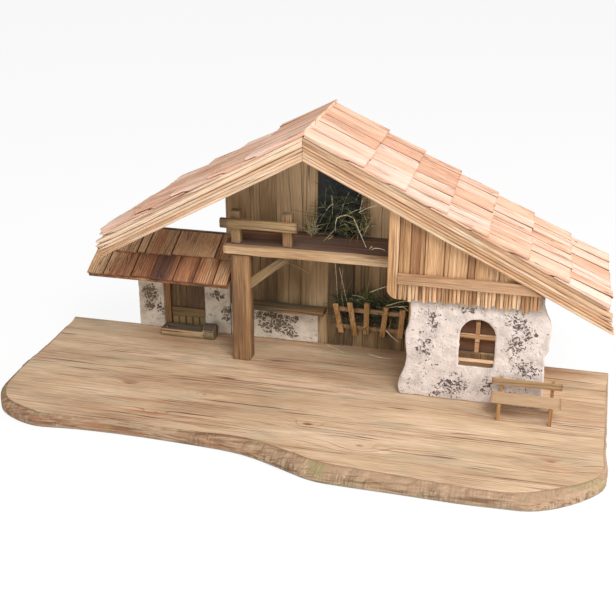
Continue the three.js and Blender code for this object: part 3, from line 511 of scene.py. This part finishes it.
def shingle_course(name, place, head_at, butt, bed, lift, edges, seed, material, head_thickness=SHINGLE_HEAD,
                   ribs=0.0, trim=None, spread=0.17, slot="shingle_pine", last=False, tones={}, raise_by={}):
    """One course: brushed, slightly cupped shingles, each with its own tone, grain and ragged butt. Head_at
    gives where it starts at a height, bed and lift how high it lies at its head and butt, edges the shingles'
    sides, and trim where an eave that isn't square cuts it off."""
    bm = bmesh.new()
    luck = random.Random(seed * 17 + 5)
    for i in range(len(edges) - 1):
        left = edges[i] + (SEAM / 2 if i else 0)
        right = edges[i + 1] - (SEAM / 2 if i + 2 < len(edges) else 0)
        end = butt + 1.6 * uneven(seed + i)
        low = line_through(head_at(bed), bed, butt, bed + lift)
        high = line_through(head_at(bed), bed + head_thickness, butt, bed + lift + SHINGLE_BUTT)
        raised, tilt, cup = luck.uniform(-0.2, 0.9), luck.uniform(-0.7, 0.7), luck.uniform(-0.3, 0.5)
        raised += raise_by.get(i, 0)
        own = luck.uniform(0, 500)
        ribbed = ribs * luck.choice((0.6, 0.9, 1.2, 1.4))

        def shape(s, t, k):
            s = 1 - (1 - s) ** 1.7
            v = lerp(left, right, t)
            ragged = 0.5 * rough(v * 0.35, own) + 0.35 * rough(v * 1.1, own, 3)
            head = head_at(bed + k * head_thickness)
            stop = end + ragged
            if trim:
                stop = min(stop, trim(v))
            u = lerp(head, max(stop, head + 4), s)
            groove = 0.4 * (rough(v * 0.55, u * 0.012, own) + 0.7 * rough(v * 1.4, u * 0.02, own + 9))
            rib = abs(sin(v * pi / RIB + 0.6 * rough(v * 0.1, own, 1)))
            groove += ribbed * (rib - 0.5)
            w = lerp(low(u), high(u), k) + k * groove * (0.3 + 0.7 * s)
            w += s * s * (raised + tilt * (t - 0.5) + cup * (4 * (t - 0.5) ** 2))
            # The front shingle is cut down to the board beneath it
            if i == 0 and t == 0 and k == 0 and (last or u < butt - LAPPED - 1):
                w = bed - 0.4
            # Dark rims are painted shade: in the seams between shingles, at the butts, in the canopy's rib grooves
            # and on the front shingle's front face
            side_rim = 1.0 if (t in (0, 1) and not (i == 0 and t == 0)) else 0.0
            front = 0.3 * (i == 0 and t == 0 and not ribs)
            groove_rim = 0.9 * ribbed * (1 - rib) ** 2
            return u, v, w, max(side_rim, 0.4 * (s == 1), 0.85 * (s == 1 and k == 0), front, groove_rim)

        across = max(4, int((right - left) / (1.0 if not ribs else 0.6)))
        tone = luck.uniform(-spread, spread) + tones.get(i, 0)
        block(bm, (8, across, 0), shape, place, tone, [luck.uniform(0, 9) for _ in range(3)])
    piece("shingles_" + name, bm, [material], name, slot=slot, bevel=0.35)


RIGHT_SEAMS = [
    [0.19, 0.42, 0.62, 0.86], [0.29, 0.68, 0.89], [0.15, 0.34, 0.52, 0.88], [0.14, 0.29, 0.48, 0.67, 0.86],
    [0.12, 0.28, 0.45, 0.62, 0.78], [0.24, 0.38, 0.52, 0.66, 0.83], [0.14, 0.26, 0.45, 0.64, 0.82],
]
LEFT_SEAMS = [[0.3, 0.62, 0.92], [0.2, 0.5, 0.8], [0.35, 0.6, 0.85], [0.22, 0.55, 0.78], [0.3, 0.68]]


def roof_shingles(side, name, reach, first, seams, past_back, material, short=0):
    """The courses of one slope, down to its reach. Short is how much shorter the slope is at its back."""
    pitch = radians(PITCH[side])
    bed = ROOF_BOARD + FIT

    def at(level, w):
        return (level - w * sin(pitch)) / cos(pitch)

    length = at(reach, bed) + 1
    exposure = (length - first) / (len(seams) - 1)
    butts = [first + i * exposure for i in range(len(seams))]
    for i, shares in enumerate(seams):
        back = ROOF_BACK + past_back[i]
        edges = [lerp(VERGE_FRONT - 1, back, share) for share in [0, *shares, 1]]

        def head_at(w, head=butts[i - 1] - LAPPED if i else None):
            return at(RIDGE_HEAD[side], w) if head is None else head

        thick = SHINGLE_HEAD if i else RIDGE_THICKNESS[side]
        last = i == len(seams) - 1
        trim = None
        if short and last:
            eave = at(reach, 0) + 3
            trim = line_through(VERGE_FRONT, eave, ROOF_BACK, eave - short)
        # The hindmost ridge shingle of the left slope stands proud, and is darker: painted shade in the gap
        # beneath it
        back_strip = {3: 1.5} if side < 0 and i == 0 else {}
        shingle_course(f"{name}_course_{i + 1}", slope(side), head_at, butts[i], bed, shingle_lift(exposure),
                       edges, 5 * i + side, material, head_thickness=thick, trim=trim, last=last,
                       raise_by=back_strip, tones={k: -0.2 for k in back_strip})


roof_shingles(1, "right", 343.5, 72, RIGHT_SEAMS, [9, 8, 7, 5, 3, 2, 0], roof_right_pine)
roof_shingles(-1, "left", 245, 68, LEFT_SEAMS, [9, 5, 3, 1, 0], roof_left_pine, short=50)


def canopy_shingles():
    """The two courses of the annex canopy, ribbed by the weather."""
    turn = Matrix.Rotation(radians(CANOPY_PITCH), 4, "X")
    place = STAGE @ Matrix.Translation((0, 0, CANOPY_HEIGHT)) @ turn
    # u runs down the canopy towards the front, v along x
    place = place @ Matrix(((0, 1, 0, 0), (-1, 0, 0, 0), (0, 0, 1, 0), (0, 0, 0, 1)))
    setback = FIT / cos(radians(CANOPY_PITCH))
    left, right, thickness = -299, -112, 4
    butts, exposure = [44, 84], 40
    seams = [[0.13, 0.3, 0.36, 0.55, 0.86], [0.12, 0.32, 0.46, 0.62, 0.76, 0.9]]
    # The first course's higher tones are painted light, against the shade that the roof casts on it; the second
    # course's pale first shingle is its own tone
    tones = [[0.3, 0.42, 0.24, 0.3, 0.4, 0.24], [0.6, 0, -0.1, -0.02, -0.12, -0.08, 0.06]]
    for i, shares in enumerate(seams):
        edges = [lerp(left, right, share) for share in [0, *shares, 1]]
        head = setback if i == 0 else butts[0] - LAPPED
        shingle_course(f"canopy_course_{i + 1}", place, lambda w, head=head: head, butts[i], thickness + FIT,
                       shingle_lift(exposure), edges, 31 + 7 * i, canopy_pine, ribs=0.9, spread=0.1,
                       slot="canopy_pine", tones=dict(enumerate(tones[i])))


canopy_shingles()


# The face of the roof's front edge: boards split along the grain into strands that spread at the eave

# Each strand's upper and lower edge, above the underside of the roof board
STRANDS = [(7.9, 3.1), (3.0, -3.0), (-3.6, -6.9), (-7.0, -10.3), (-10.4, -13.8), (-13.9, -17.3)]
SPLAYED = 26  # how much of a strand's end spreads
STRAND_TONES = {
    ("right", "upper"): -0.06, ("right", "lower"): -0.15, ("left", "upper"): 0.28, ("left", "lower"): -0.02,
}


def verge_strands(side, name, length, ends, material, spread, seed):
    """The upper and lower verge board of one slope. A strand has its end, and how far that bends out."""
    pitch = radians(PITCH[side])
    luck = random.Random(seed)
    for board, rows in (("upper", range(0, 2)), ("lower", range(2, 6))):
        bm = bmesh.new()
        for i in rows:
            high, low = STRANDS[i]
            end, bent, own = ends[i], spread[i], luck.uniform(0, 90)

            def shape(s, t, k):
                w = lerp(low, high, k)
                start = 0.25 - w * tan(pitch)
                u = lerp(start, end - 1.4 * abs(2 * k - 1) ** 3, s)
                far = max(0.0, 1 - (end - u) / SPLAYED)
                middle = (high + low) / 2
                bulge = 0.55 * (2 * k - 1) ** 2
                w += 0.3 * rough(u * 0.03, i * 7, own) + bent * far ** 2 - (w - middle) * 0.5 * far ** 3
                line = 0.35 * rough(u * 0.012, w * 0.9, own) + 0.3 * rough(u * 0.03, w * 2.1, own)
                v = VERGE_FRONT + 0.7 + bulge + line if t < 0.5 else VERGE_FRONT + 7.7
                # The dark rims along each strand's front face are painted shade in the splits between strands
                return u, v, w, 0.42 * (k in (0, 1)) * (t < 0.5)

            tone = luck.uniform(-0.08, 0.1) + STRAND_TONES[name, board]
            block(bm, (int(length / 4), 0, 5), shape, slope(side), tone, (luck.uniform(0, 9),) * 3)
        piece(f"verge_{board}_{name}_split", bm, [material], f"verge_{board}_{name}", slot="pine", bevel=0.2)


verge_strands(1, "right", 400, [381, 388.5, 391, 393.5, 397, 400.5], verge_right_pine,
              [0.4, 0.6, 1.0, -0.5, 0.4, -0.4], 3)
verge_strands(-1, "left", 295, [279, 289, 292.5, 289, 296, 295.5], verge_left_pine,
              [2.6, 1.2, 2.2, -0.2, 1.0, -1.6], 4)


# Planks and the carved fringe of the gable

def gable():
    """The gable board, as planks with a fringe of cut strips along its foot."""
    bm = bmesh.new()
    luck = random.Random(8)
    fall = tan(radians(PITCH[1]))
    front, back, top_of_fringe, fringe_foot = -124, -118, 143.5, 124
    corner, corner_x, corner_z = 13, 109, 137
    seams = [96, corner_x, 122, 138, 160, 187, 194.5, 222, 251, 272]
    for left, right in zip(seams, seams[1:]):
        own = luck.uniform(0, 90)

        def plank(s, t, k):
            x = lerp(left + 0.3, right - 0.3, s)
            roof_here = RIDGE_HEIGHT - abs(x - RIDGE_X) * fall - FIT
            # The left plank ends in a round corner
            foot = top_of_fringe
            if right == corner_x:
                foot = corner_z - sqrt(max(0, corner ** 2 - (corner_x - x) ** 2))
            z = lerp(foot, roof_here, k)
            relief = 0.45 * rough(x * 0.5, z * 0.012, own) + 0.35 * rough(x * 1.5, z * 0.02, own)
            # The dark rims at each plank's sides are painted shade in the joints between planks
            return x, front + 0.6 + relief if t < 0.5 else back, z, 0.8 * (s in (0, 1))

        block(bm, (int((right - left) / 1.1), 0, 9), plank, STAGE, luck.uniform(-0.14, 0.12),
              (luck.uniform(0, 9),) * 3)
    # The fringe: strips about 4.5 mm wide, each cut to its own length with a slanted end
    x, number = corner_x + 0.2, 0
    while x < seams[-1] - 3:
        wide = min(luck.uniform(3.4, 5.6), seams[-1] - x)
        foot = fringe_foot - 2.4 * uneven(number) + luck.uniform(-0.6, 0.6)
        proud, slant = luck.uniform(0, 1.3), luck.uniform(0.4, 2.4)
        turn_out, narrow = luck.uniform(-1, 1), luck.uniform(0.02, 0.16)
        own = luck.uniform(0, 90)

        def strip(s, t, k):
            lower = (1 - k) ** 2
            across = 0.5 + (s - 0.5) * (1 - narrow * lower)
            px = x + 0.25 + (wide - 0.5) * across + 0.5 * turn_out * lower
            at_foot = k == 0
            z = lerp(foot + slant * t * at_foot + 0.8 * abs(2 * s - 1) * at_foot, top_of_fringe, k)
            bulge = 0.5 * (2 * s - 1) ** 2 + 0.4 * rough(px * 0.8, z * 0.05, own)
            y = front + 1.2 - proud + bulge if t < 0.5 else back
            # The dark rims at each strip's sides are painted shade in the cuts between strips
            return px, y, z, 0.42 * (s in (0, 1)) * (t < 0.5)

        block(bm, (3, 0, 6), strip, STAGE, luck.uniform(-0.16, 0.22), (luck.uniform(0, 9),) * 3)
        x += wide
        number += 1
    piece("gable_planks_and_fringe", bm, [gable_pine], "gable_board", slot="pine", bevel=0.25)


gable()


# Timbers with brushed sides

def timber(node, material, axis, radius=1.4, relief=0.4, wave=0.5, cell=1.5, slot="stained_pine", tone=0.0,
           start_short=0.0, dark_end=0.0, grow=0.0):
    """A worn timber in the room of a CAD bar: rounded edges, and grooves along the grain that are brushed in
    from its faces. At its low end it may start short and be dark for some length, and it may grow by some of
    what the grooves take."""
    low, high = (Vector(corner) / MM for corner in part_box(node))
    low[axis] += start_short
    size, middle = high - low, (high + low) / 2
    others = [i for i in range(3) if i != axis]
    own = len(node) * 3.7

    def shape(*shares):
        q = Vector([lerp(low[i], high[i], shares[i]) for i in range(3)])
        along = q[axis]
        out = Vector((0, 0, 0))
        for i in others:
            half = size[i] / 2
            v = q[i] - middle[i]
            inner = max(-(half - radius), min(half - radius, v))
            out[i] = v - inner
        corner = out.length
        if corner > radius:
            q -= out * (1 - radius / corner)
        if corner < 0.001:
            for i in others:
                if abs(shares[i] - round(shares[i])) < 0.001:
                    out[i] = shares[i] - 0.5
        if out.length > 0.001:
            around = q[others[0]] + q[others[1]]
            grooves = rough(along * 0.015, around * 0.45, own) + 0.8 * rough(along * 0.03, around * 1.3, own)
            inward = relief * (1 + grooves)
            inward += wave * (1 + rough(along * 0.035, around * 0.04, own + 5)) * 0.5
            q -= out.normalized() * (inward - grow)
        if shares[axis] in (0, 1):
            q[axis] += (0.5 - shares[axis]) * (0.8 + 1.2 * rough(q[others[0]] * 0.3, q[others[1]] * 0.3, own))
        return q.x, q.y, q.z, 0.7 if shares[axis] in (0, 1) or along - low[axis] < dark_end else 0.0

    bm = bmesh.new()
    cuts = [max(2, int(size[i] / (4.0 if i == axis else cell))) for i in range(3)]
    block(bm, cuts, shape, Matrix.Scale(MM, 4), tone, (0.1 * len(node), 0.2 * len(node), 0))
    piece("worn_" + node, bm, [material], node, slot=slot, bevel=0.2)


timber("loft_post", post_pine, 2, radius=2.2, relief=0.55, wave=0.9, cell=1.2, grow=2.4, tone=-0.08)
timber("loft_beam", stock_pine, 0, relief=0.35, wave=0.9, grow=0.5)
timber("loft_rail", rail_pine, 0, radius=3.4, wave=0.8, dark_end=8, grow=0.6)
for post in "rail_post_left", "rail_post_right":
    timber(post, rail_post_pine, 2, radius=1.2, relief=0.2, wave=0.1, grow=0.7)
timber("door_post", post_pine, 2, radius=1.2, tone=-0.25)
timber("low_wall_shelf", shelf_pine, 0, radius=2.2, relief=0.5, wave=1.2, cell=1.3, start_short=11)
timber("bench_seat", bench_pine, 0, radius=0.7, relief=0.2, wave=0.3, slot="bench_pine")
timber("bench_back", bench_pine, 0, radius=0.7, relief=0.2, wave=0.4, slot="bench_pine", tone=-0.25)


# Plaster and the floor board

def solid_copy(node):
    """A merged copy of a CAD node."""
    bm = bmesh.new()
    bm.from_mesh(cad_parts[node].data)
    bmesh.ops.remove_doubles(bm, verts=bm.verts, dist=0.00001)
    return bm


def remeshed(bm, voxel, rounds):
    """The shape in even small faces, its edges rounded by smoothing."""
    mesh = bpy.data.meshes.new("remesh")
    bm.to_mesh(mesh)
    bm.free()
    helper = in_scene("remesh", mesh)
    even = helper.modifiers.new("even", "REMESH")
    even.mode, even.voxel_size = "VOXEL", voxel * MM
    done = helper.evaluated_get(bpy.context.evaluated_depsgraph_get())
    made = bmesh.new()
    made.from_mesh(done.to_mesh())
    done.to_mesh_clear()
    bpy.data.objects.remove(helper)
    for _ in range(rounds):
        bmesh.ops.smooth_vert(made, verts=made.verts, factor=0.5,
                              use_axis_x=True, use_axis_y=True, use_axis_z=True)
    return made


def roughen(bm, amount, size, seed, fine):
    """Moves every vertex along its normal by slow and fine noise, sizes in millimetres."""
    bm.normal_update()
    moves = []
    for vert in bm.verts:
        p = vert.co / (size * MM)
        slow = rough(p.x, p.y, p.z + seed)
        quick = rough(p.x * 3.1, p.y * 3.1, p.z * 3.1 + seed)
        moves.append(vert.normal * (amount * MM * (slow + fine * quick)))
    for vert, move in zip(bm.verts, moves):
        vert.co += move


def plaster_wall(node, material):
    """A wall with the trowel's low waves."""
    bm = remeshed(solid_copy(node), 1.3, 2)
    roughen(bm, 0.55, 9, len(node), 0.6)
    piece("plastered_" + node, bm, [material], node, slot="plaster", smooth=True)


plaster_wall("house_front_wall", plaster)
plaster_wall("annex_wall", annex_plaster)
plaster_wall("low_wall", annex_plaster)


def trough():
    """The hollowed log, whose solid right end is dark. Its top and back are darker, painted shade in the hollow,
    and its front paler, painted light.
    """
    bm = remeshed(solid_copy("log_trough"), 1.1, 1)
    roughen(bm, 0.5, 6, 4, 0.35)
    bark_start, hollow_back = -163, 0.137
    rims = bm.verts.layers.float.new("rim")
    tones = bm.verts.layers.float.new("tone")
    for vert in bm.verts:
        bark = (vert.co.x / MM - bark_start) / 3 + 0.8 * rough(vert.co.z * 300, vert.co.y * 300)
        vert[rims] = min(0.85, max(0.0, bark)) * (0.75 + 0.5 * rough(vert.co.x * 700, 1))
        # Painted light and shade: the log's top and back, where the hollow lies, are darker, and its front is
        # paler
        vert[tones] = -0.25 if vert.normal.z > 0.5 or vert.co.y > hollow_back else 0.26
    piece("hollowed_log", bm, [trough_pine], "log_trough", slot="stained_pine", smooth=True)


trough()


def window_sill():
    """A thin pine board on the sill of the arch."""
    bm = bmesh.new()
    left, width, front, depth, foot, thickness = 181.9, 41, -117.4, 9.6, 46.2, 1.4

    def shape(s, t, k):
        y = front + depth * t + 0.3 * rough(s * 9, 2)
        return left + width * s, y, foot + thickness * k - 0.3 * abs(2 * s - 1)

    block(bm, (12, 3, 0), shape, STAGE, 0.0, (0, 0, 0))
    piece("window_sill_board", bm, [sill_pine], slot="bench_pine", bevel=0.3)


window_sill()


def carved_board():
    """The floor board with its hewn edge: the cut along the front is worked in small facets."""
    bm = solid_copy("base_board")
    bmesh.ops.dissolve_limit(bm, angle_limit=radians(0.5), verts=bm.verts, edges=bm.edges)
    bm.normal_update()
    slanted = [f for f in bm.faces if 0.1 < f.normal.z < 0.97]
    edges = {e for f in slanted for e in f.edges}
    bmesh.ops.subdivide_edges(bm, edges=list(edges), cuts=3, use_grid_fill=True)
    bm.normal_update()
    rims = bm.loops.layers.float.new("rim")
    top, near_top, at_top, back_edge, facet = BOARD_TOP * MM, 0.0158, 0.0159, 0.14, 13
    for face in bm.faces:
        hewn = -0.9 < face.normal.z < 0.97
        face.material_index = 1 if hewn else 0
        for loop in face.loops:
            loop[rims] = 1.0 if hewn and loop.vert.co.z > near_top else 0.0
    luck = random.Random(21)
    for vert in bm.verts:
        steep = [f.normal.z for f in vert.link_faces]
        hewn = max(steep) < 0.99 and min(steep) > 0.05
        at_rim = max(steep) > 0.99 and min(steep) < 0.97 and vert.co.z > at_top
        if (hewn or at_rim) and vert.co.y < back_edge:
            p = vert.co / (facet * MM)
            cell = noise.cell(Vector((p.x * 1.2, p.y * 0.7, 0)))
            dent = 1.1 * rough(p.x * 1.2, p.y, 2) + 1.5 * (cell - 0.5) + luck.uniform(-0.35, 0.35)
            inward = Vector((-vert.normal.x, -vert.normal.y, -0.35 if hewn else 0))
            vert.co += inward * (MM * dent)
            vert.co.z = min(vert.co.z, top)
    piece("carved_floor_board", bm, [floor_pine, edge_pine], "base_board", slot="pine", bevel=0.25)


carved_board()


# Hay

def straw(bm, points, radius, tone):
    """One stalk through the points: a thin three-sided cone, bent smoothly."""
    start = len(bm.verts)
    joints = 5
    bmesh.ops.create_cone(bm, segments=3, radius1=radius, radius2=radius * 0.5, depth=1)
    bm.verts.ensure_lookup_table()
    rising = {e for v in bm.verts[start:] for e in v.link_edges if abs(e.verts[0].co.z - e.verts[1].co.z) > 0.5}
    bmesh.ops.subdivide_edges(bm, edges=list(rising), cuts=joints)
    bm.verts.ensure_lookup_table()
    points = [Vector(p) for p in points]
    last = len(points) - 1
    turn = (points[-1] - points[0]).to_track_quat("Z", "Y")
    for vert in bm.verts[start:]:
        share = (vert.co.z + 0.5) * last
        i = min(int(share), last - 1)
        f = share - i
        before, after = points[max(i - 1, 0)], points[min(i + 2, last)]
        a, b = points[i], points[i + 1]
        on = a * (1 + f * f * (2 * f - 3)) + b * (f * f * (3 - 2 * f))
        on += (b - before) * 0.5 * (f * (1 - f) ** 2) + (after - a) * 0.5 * (f * f * (f - 1))
        vert.co = STAGE @ (on + turn @ Vector((vert.co.x, vert.co.y, 0)))
    mark(bm, start, tone)


def hay(name, node, batches, seed, placed=()):
    """A clump of loose hay over a CAD lump. Each batch is a count, a place, the stalks' lengths, their lift,
    their tone and its spread. A placed stalk is its radius, its tone and the points that it runs through."""
    luck = random.Random(seed)
    bm = bmesh.new()
    for count, spot, lengths, lift, green, spread in batches:
        for _ in range(count):
            base = spot(luck)
            aim = Vector((luck.gauss(0, 1), luck.gauss(-0.25, 0.3), luck.gauss(lift, 0.7))).normalized()
            droop = Vector((luck.gauss(0, 0.35), luck.gauss(-0.1, 0.1), -abs(luck.gauss(0.2, 0.3))))
            length = luck.uniform(*lengths)
            tone = min(1, max(0, luck.gauss(green, spread)))
            points = [base, base + aim * length * 0.5 + droop * length * 0.12,
                      base + aim * length + droop * length * 0.6]
            for p in points:
                p.y, p.z = min(p.y, -0.6), max(p.z, 1)
            straw(bm, points, luck.uniform(0.3, 0.55), tone)
    for radius, tone, *points in placed:
        straw(bm, points, radius * 1.25, min(1, tone + 0.08))
    piece(name, bm, [hay_stalks], *([node] if node else []), slot="hay")


def in_rack(draw, x1, x2, back, front, low, high):
    """Draws a place behind the leaning rack: first its height, then x with the two values, then its depth."""
    def spot(luck):
        z = luck.uniform(low, high)
        return Vector((draw(luck, x1, x2), luck.uniform(back - (z - RACK_FOOT) * RACK_LEAN, front), z))
    return spot


RACK_FOOT, RACK_LEAN = 18, 0.384
EVEN, BUNCHED = random.Random.uniform, random.Random.gauss

# The first batch of each clump is of dark stalks: dark green hay, with painted shade deep in the clump
hay("loft_hay_stalks", "loft_hay", [
    (340, lambda luck: Vector((luck.uniform(-5, 41), luck.uniform(-8, 1), luck.triangular(152, 236, 156))),
     (10, 30), 0.6, 0.16, 0.12),
    (64, lambda luck: Vector((luck.uniform(-4, 44), luck.uniform(-12, -3), luck.triangular(152, 205, 156))),
     (14, 38), 0.9, 0.6, 0.2),
    (30, lambda luck: Vector((luck.gauss(-20, 2.5), luck.uniform(-9, -3), luck.gauss(154, 3))),
     (14, 32), 2.2, 0.88, 0.08),
    (34, lambda luck: Vector((luck.gauss(46, 4), luck.uniform(-12, -3), luck.gauss(164, 8))),
     (10, 28), 0.8, 0.7, 0.1),
], 3, placed=[
    (0.5, 0.78, (5, -6, 206), (6.2, -6, 192), (6.4, -6, 177)),
    (0.5, 0.68, (18.4, -8, 183), (22, -8, 199), (27.1, -8, 188)),
    (0.5, 0.85, (43.8, -6, 202), (42.8, -6, 197), (41, -6, 186)),
    (0.45, 0.66, (47, -10, 184.5), (51, -10, 172.4), (47.9, -10, 161)),
    (0.5, 0.82, (54.1, -10, 172.7), (50, -10, 165.2), (46, -10, 156)),
    (0.85, 0.82, (11.9, -12, 160), (12.2, -12, 175.8), (18.2, -12, 181.2), (29.1, -12, 183), (36.9, -12, 176.5)),
    (0.55, 0.95, (34.9, -12, 179), (44, -22, 167), (59.5, -44.7, 149.5)),
    (0.6, 0.98, (59.5, -44.7, 149.5), (64, -45, 157), (66, -46, 150)),
    (0.5, 0.92, (59.5, -44.7, 149.5), (68, -45, 155), (80, -46, 154), (81, -48, 149.6)),
    (0.5, 0.72, (12, -12, 165), (4, -22, 156), (-3, -34, 149.8)),
    (0.5, 0.76, (9, -14, 155), (0, -28, 151), (-7, -42, 149.8)),
    (0.5, 0.7, (-26, -6, 184), (-27.6, -6, 174), (-24, -6, 165), (-20.7, -6, 153)),
    (0.5, 0.64, (-18, -6, 176), (-17, -6, 165), (-20, -6, 152)),
    (0.5, 0.7, (-20, -8, 154), (-19, -20, 151), (-17, -32, 149.8)),
    (0.5, 0.8, (-20, -8, 154), (-15, -24, 151), (-10, -40, 149.8)),
    (0.5, 0.6, (-20, -8, 154), (-24, -20, 151), (-27, -34, 149.8)),
    (0.45, 0.74, (-62, -40, 149.7), (-52, -30, 152), (-40, -20, 150)),
])
hay("rack_hay_stalks", "rack_hay", [
    (520, in_rack(EVEN, 13, 106, 3.2, -1, 32, 74), (8, 24), 0.5, 0.22, 0.13),
    (90, in_rack(EVEN, 16, 104, 2, -2, 50, 74), (12, 30), 1.2, 0.5, 0.17),
    (26, in_rack(BUNCHED, 56, 5, 2, -4, 56, 74), (16, 32), 2.4, 0.5, 0.12),
    (30, in_rack(BUNCHED, 92, 9, 2, -6, 52, 72), (14, 30), 0.6, 0.55, 0.15),
], 4, placed=[
    (0.35, 0.8, (10.5, -8, 122), (13.7, -10, 95), (15.4, -10, 68)),
    (0.4, 0.84, (17.5, -12, 113), (23.1, -14, 90.6), (30, -14, 62)),
    (0.35, 0.66, (22.3, -12, 111), (21.2, -12, 100), (19.6, -12, 84)),
    (0.4, 0.5, (52.6, -14, 104), (53.2, -15, 85), (53.6, -14, 62)),
    (0.4, 0.56, (56, -14, 98), (55, -15, 82), (54.6, -14, 62)),
    (0.6, 0.95, (58, -14, 84), (69.8, -16, 90.5), (80, -17, 95.5)),
    (0.6, 0.74, (80, -18, 69), (95.2, -22, 77), (108.5, -26, 82.5)),
    (0.5, 0.7, (82, -18, 67), (96, -23, 72), (108.5, -26, 75)),
    (0.5, 0.9, (96, -18, 69), (103, -21, 71), (109, -23, 67)),
    (0.55, 0.97, (76, -6, 33), (88.2, -12, 24.4), (97, -14, 19)),
])
hay("fallen_straws", None, [], 5, placed=[
    (0.4, 0.76, (-59, -0.6, 110.4), (-41.4, -0.6, 105), (-25, -0.6, 96.6)),
    (0.5, 0.74, (2, -7.5, 0.6), (16, -16, 0.9), (29, -25.3, 0.6)),
    (0.45, 0.9, (60, -20, 0.6), (74, -27, 0.9), (90, -28, 0.6)),
    (0.4, 0.7, (20, -30, 0.6), (34, -33, 0.9), (50, -30, 0.6)),
])


# CAD nodes that keep their shape: worn edges and their wood

def dress(names, material, worn=0.6):
    """Gives the named nodes their wood, with edges worn by so many millimetres."""
    for name in names.split():
        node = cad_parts[name]
        node.data.materials.clear()
        node.data.materials.append(material)
        weld = node.modifiers.new("weld", "WELD")
        weld.merge_threshold = 0.00001
        flat = node.modifiers.new("flat", "DECIMATE")
        flat.decimate_type, flat.angle_limit = "DISSOLVE", radians(0.5)
        wear(node, worn, 35)


dress("roof_board_right", verge_right_pine)
dress("roof_board_left", verge_left_pine)
dress("back_wall_annex back_wall_loft back_wall_house", wall_pine, 0.4)
dress("gable_batten", batten_pine)
dress("window_cross", stock_pine, 0.5)
dress("knee_brace", brace_pine)
dress("loft_floor", dark_pine, 0.3)
dress("loft_door_panel", night_pine, 0.3)
dress("window_panel", window_pine, 0.3)
dress("half_door", rail_pine, 0.5)
dress("rack_slat_1 rack_slat_2 rack_slat_3 rack_slat_4 rack_slat_5", slat_pine, 0.5)
dress("rack_rail_lower rack_rail_upper", stock_pine, 0.5)
dress("house_side_left house_side_right", side_pine, 0.4)
dress("bench_leg_left bench_leg_right", leg_pine, 0.4)
dress("canopy_board", canopy_pine)


# Floor, light and camera

def stage_floor():
    """A pale table, seen nearly white, that keeps the stable's shadow."""
    material, add = begun("pale_table")
    table = add("BsdfPrincipled", {"Base Color": linear("#f6f5f4"), "Roughness": 0.9})
    white = add("Emission", {"Color": (1, 1, 1, 1), "Strength": 1.0})
    seen = add("LightPath", out="Is Camera Ray")
    share = add("Math MULTIPLY", [seen, 0.88])
    add("OutputMaterial", {"Surface": add("MixShader", [share, table, white])})
    bm = bmesh.new()
    bmesh.ops.create_grid(bm, x_segments=1, y_segments=1, size=12)
    mesh = bpy.data.meshes.new("floor")
    bm.to_mesh(mesh)
    bm.free()
    mesh.materials.append(material)
    in_scene("floor", mesh)


def lamp(name, place, target, size, power, cone=180):
    """A square lamp that looks at its target."""
    light = bpy.data.lights.new(name, "AREA")
    light.shape, light.size, light.energy, light.spread = "SQUARE", size, power, radians(cone)
    made = in_scene(name, light)
    made.location = place
    made.rotation_euler = (Vector(target) - Vector(place)).to_track_quat("-Z", "Y").to_euler()


def world_light(strength):
    """Even light from all round, seen as plain white."""
    world = bpy.data.worlds.new("studio")
    bpy.context.scene.world = world
    world.use_nodes = True
    world.node_tree.nodes.clear()
    add = partial(add_node, world.node_tree)
    soft = add("Background", {"Color": (1, 1, 1, 1), "Strength": strength})
    white = add("Background", {"Color": (1, 1, 1, 1), "Strength": 1.0})
    seen = add("LightPath", out="Is Camera Ray")
    add("OutputWorld", {"Surface": add("MixShader", [seen, soft, white])})


def photo_camera():
    """The camera fitted to the photograph: a focal length of 1036 pixels in a frame of 616."""
    azimuth, elevation, roll = (radians(a) for a in (13.5, 23.1, 0.28))
    level = cos(elevation)
    back = Vector((sin(azimuth) * level, -cos(azimuth) * level, sin(elevation)))
    right = Vector((cos(azimuth), sin(azimuth), 0))
    up = back.cross(right)
    turned_right = right * cos(roll) + up * sin(roll)
    turned_up = up * cos(roll) - right * sin(roll)
    data = bpy.data.cameras.new("camera")
    data.sensor_width, data.lens = 36, 36 * 1036 / 616
    camera = in_scene("camera", data)
    turn = Matrix((turned_right, turned_up, back)).transposed().to_4x4()
    camera.matrix_world = Matrix.Translation((0.2655, -1.0575, 0.5964)) @ turn
    bpy.context.scene.camera = camera


stage_floor()
lamp("key", (1.0, -1.5, 2.2), (0, 0, 0.1), 1.2, 56)
lamp("fill", (-0.9, -2.2, 0.9), (0, 0, 0.15), 1.2, 10)
lamp("side", (2.3, -0.4, 0.7), (0.32, 0, 0.04), 0.8, 40)
lamp("house_lamp", (0.197, 0.112, 0.128), (0.197, 0.112, 0), 0.05, 0.085, cone=80)
lamp("loft_lamp", (0, 0.045, 0.283), (0.015, 0.15, 0.19), 0.03, 0.032, cone=120)
world_light(0.47)
photo_camera()
bpy.context.scene.view_settings.view_transform = "Standard"
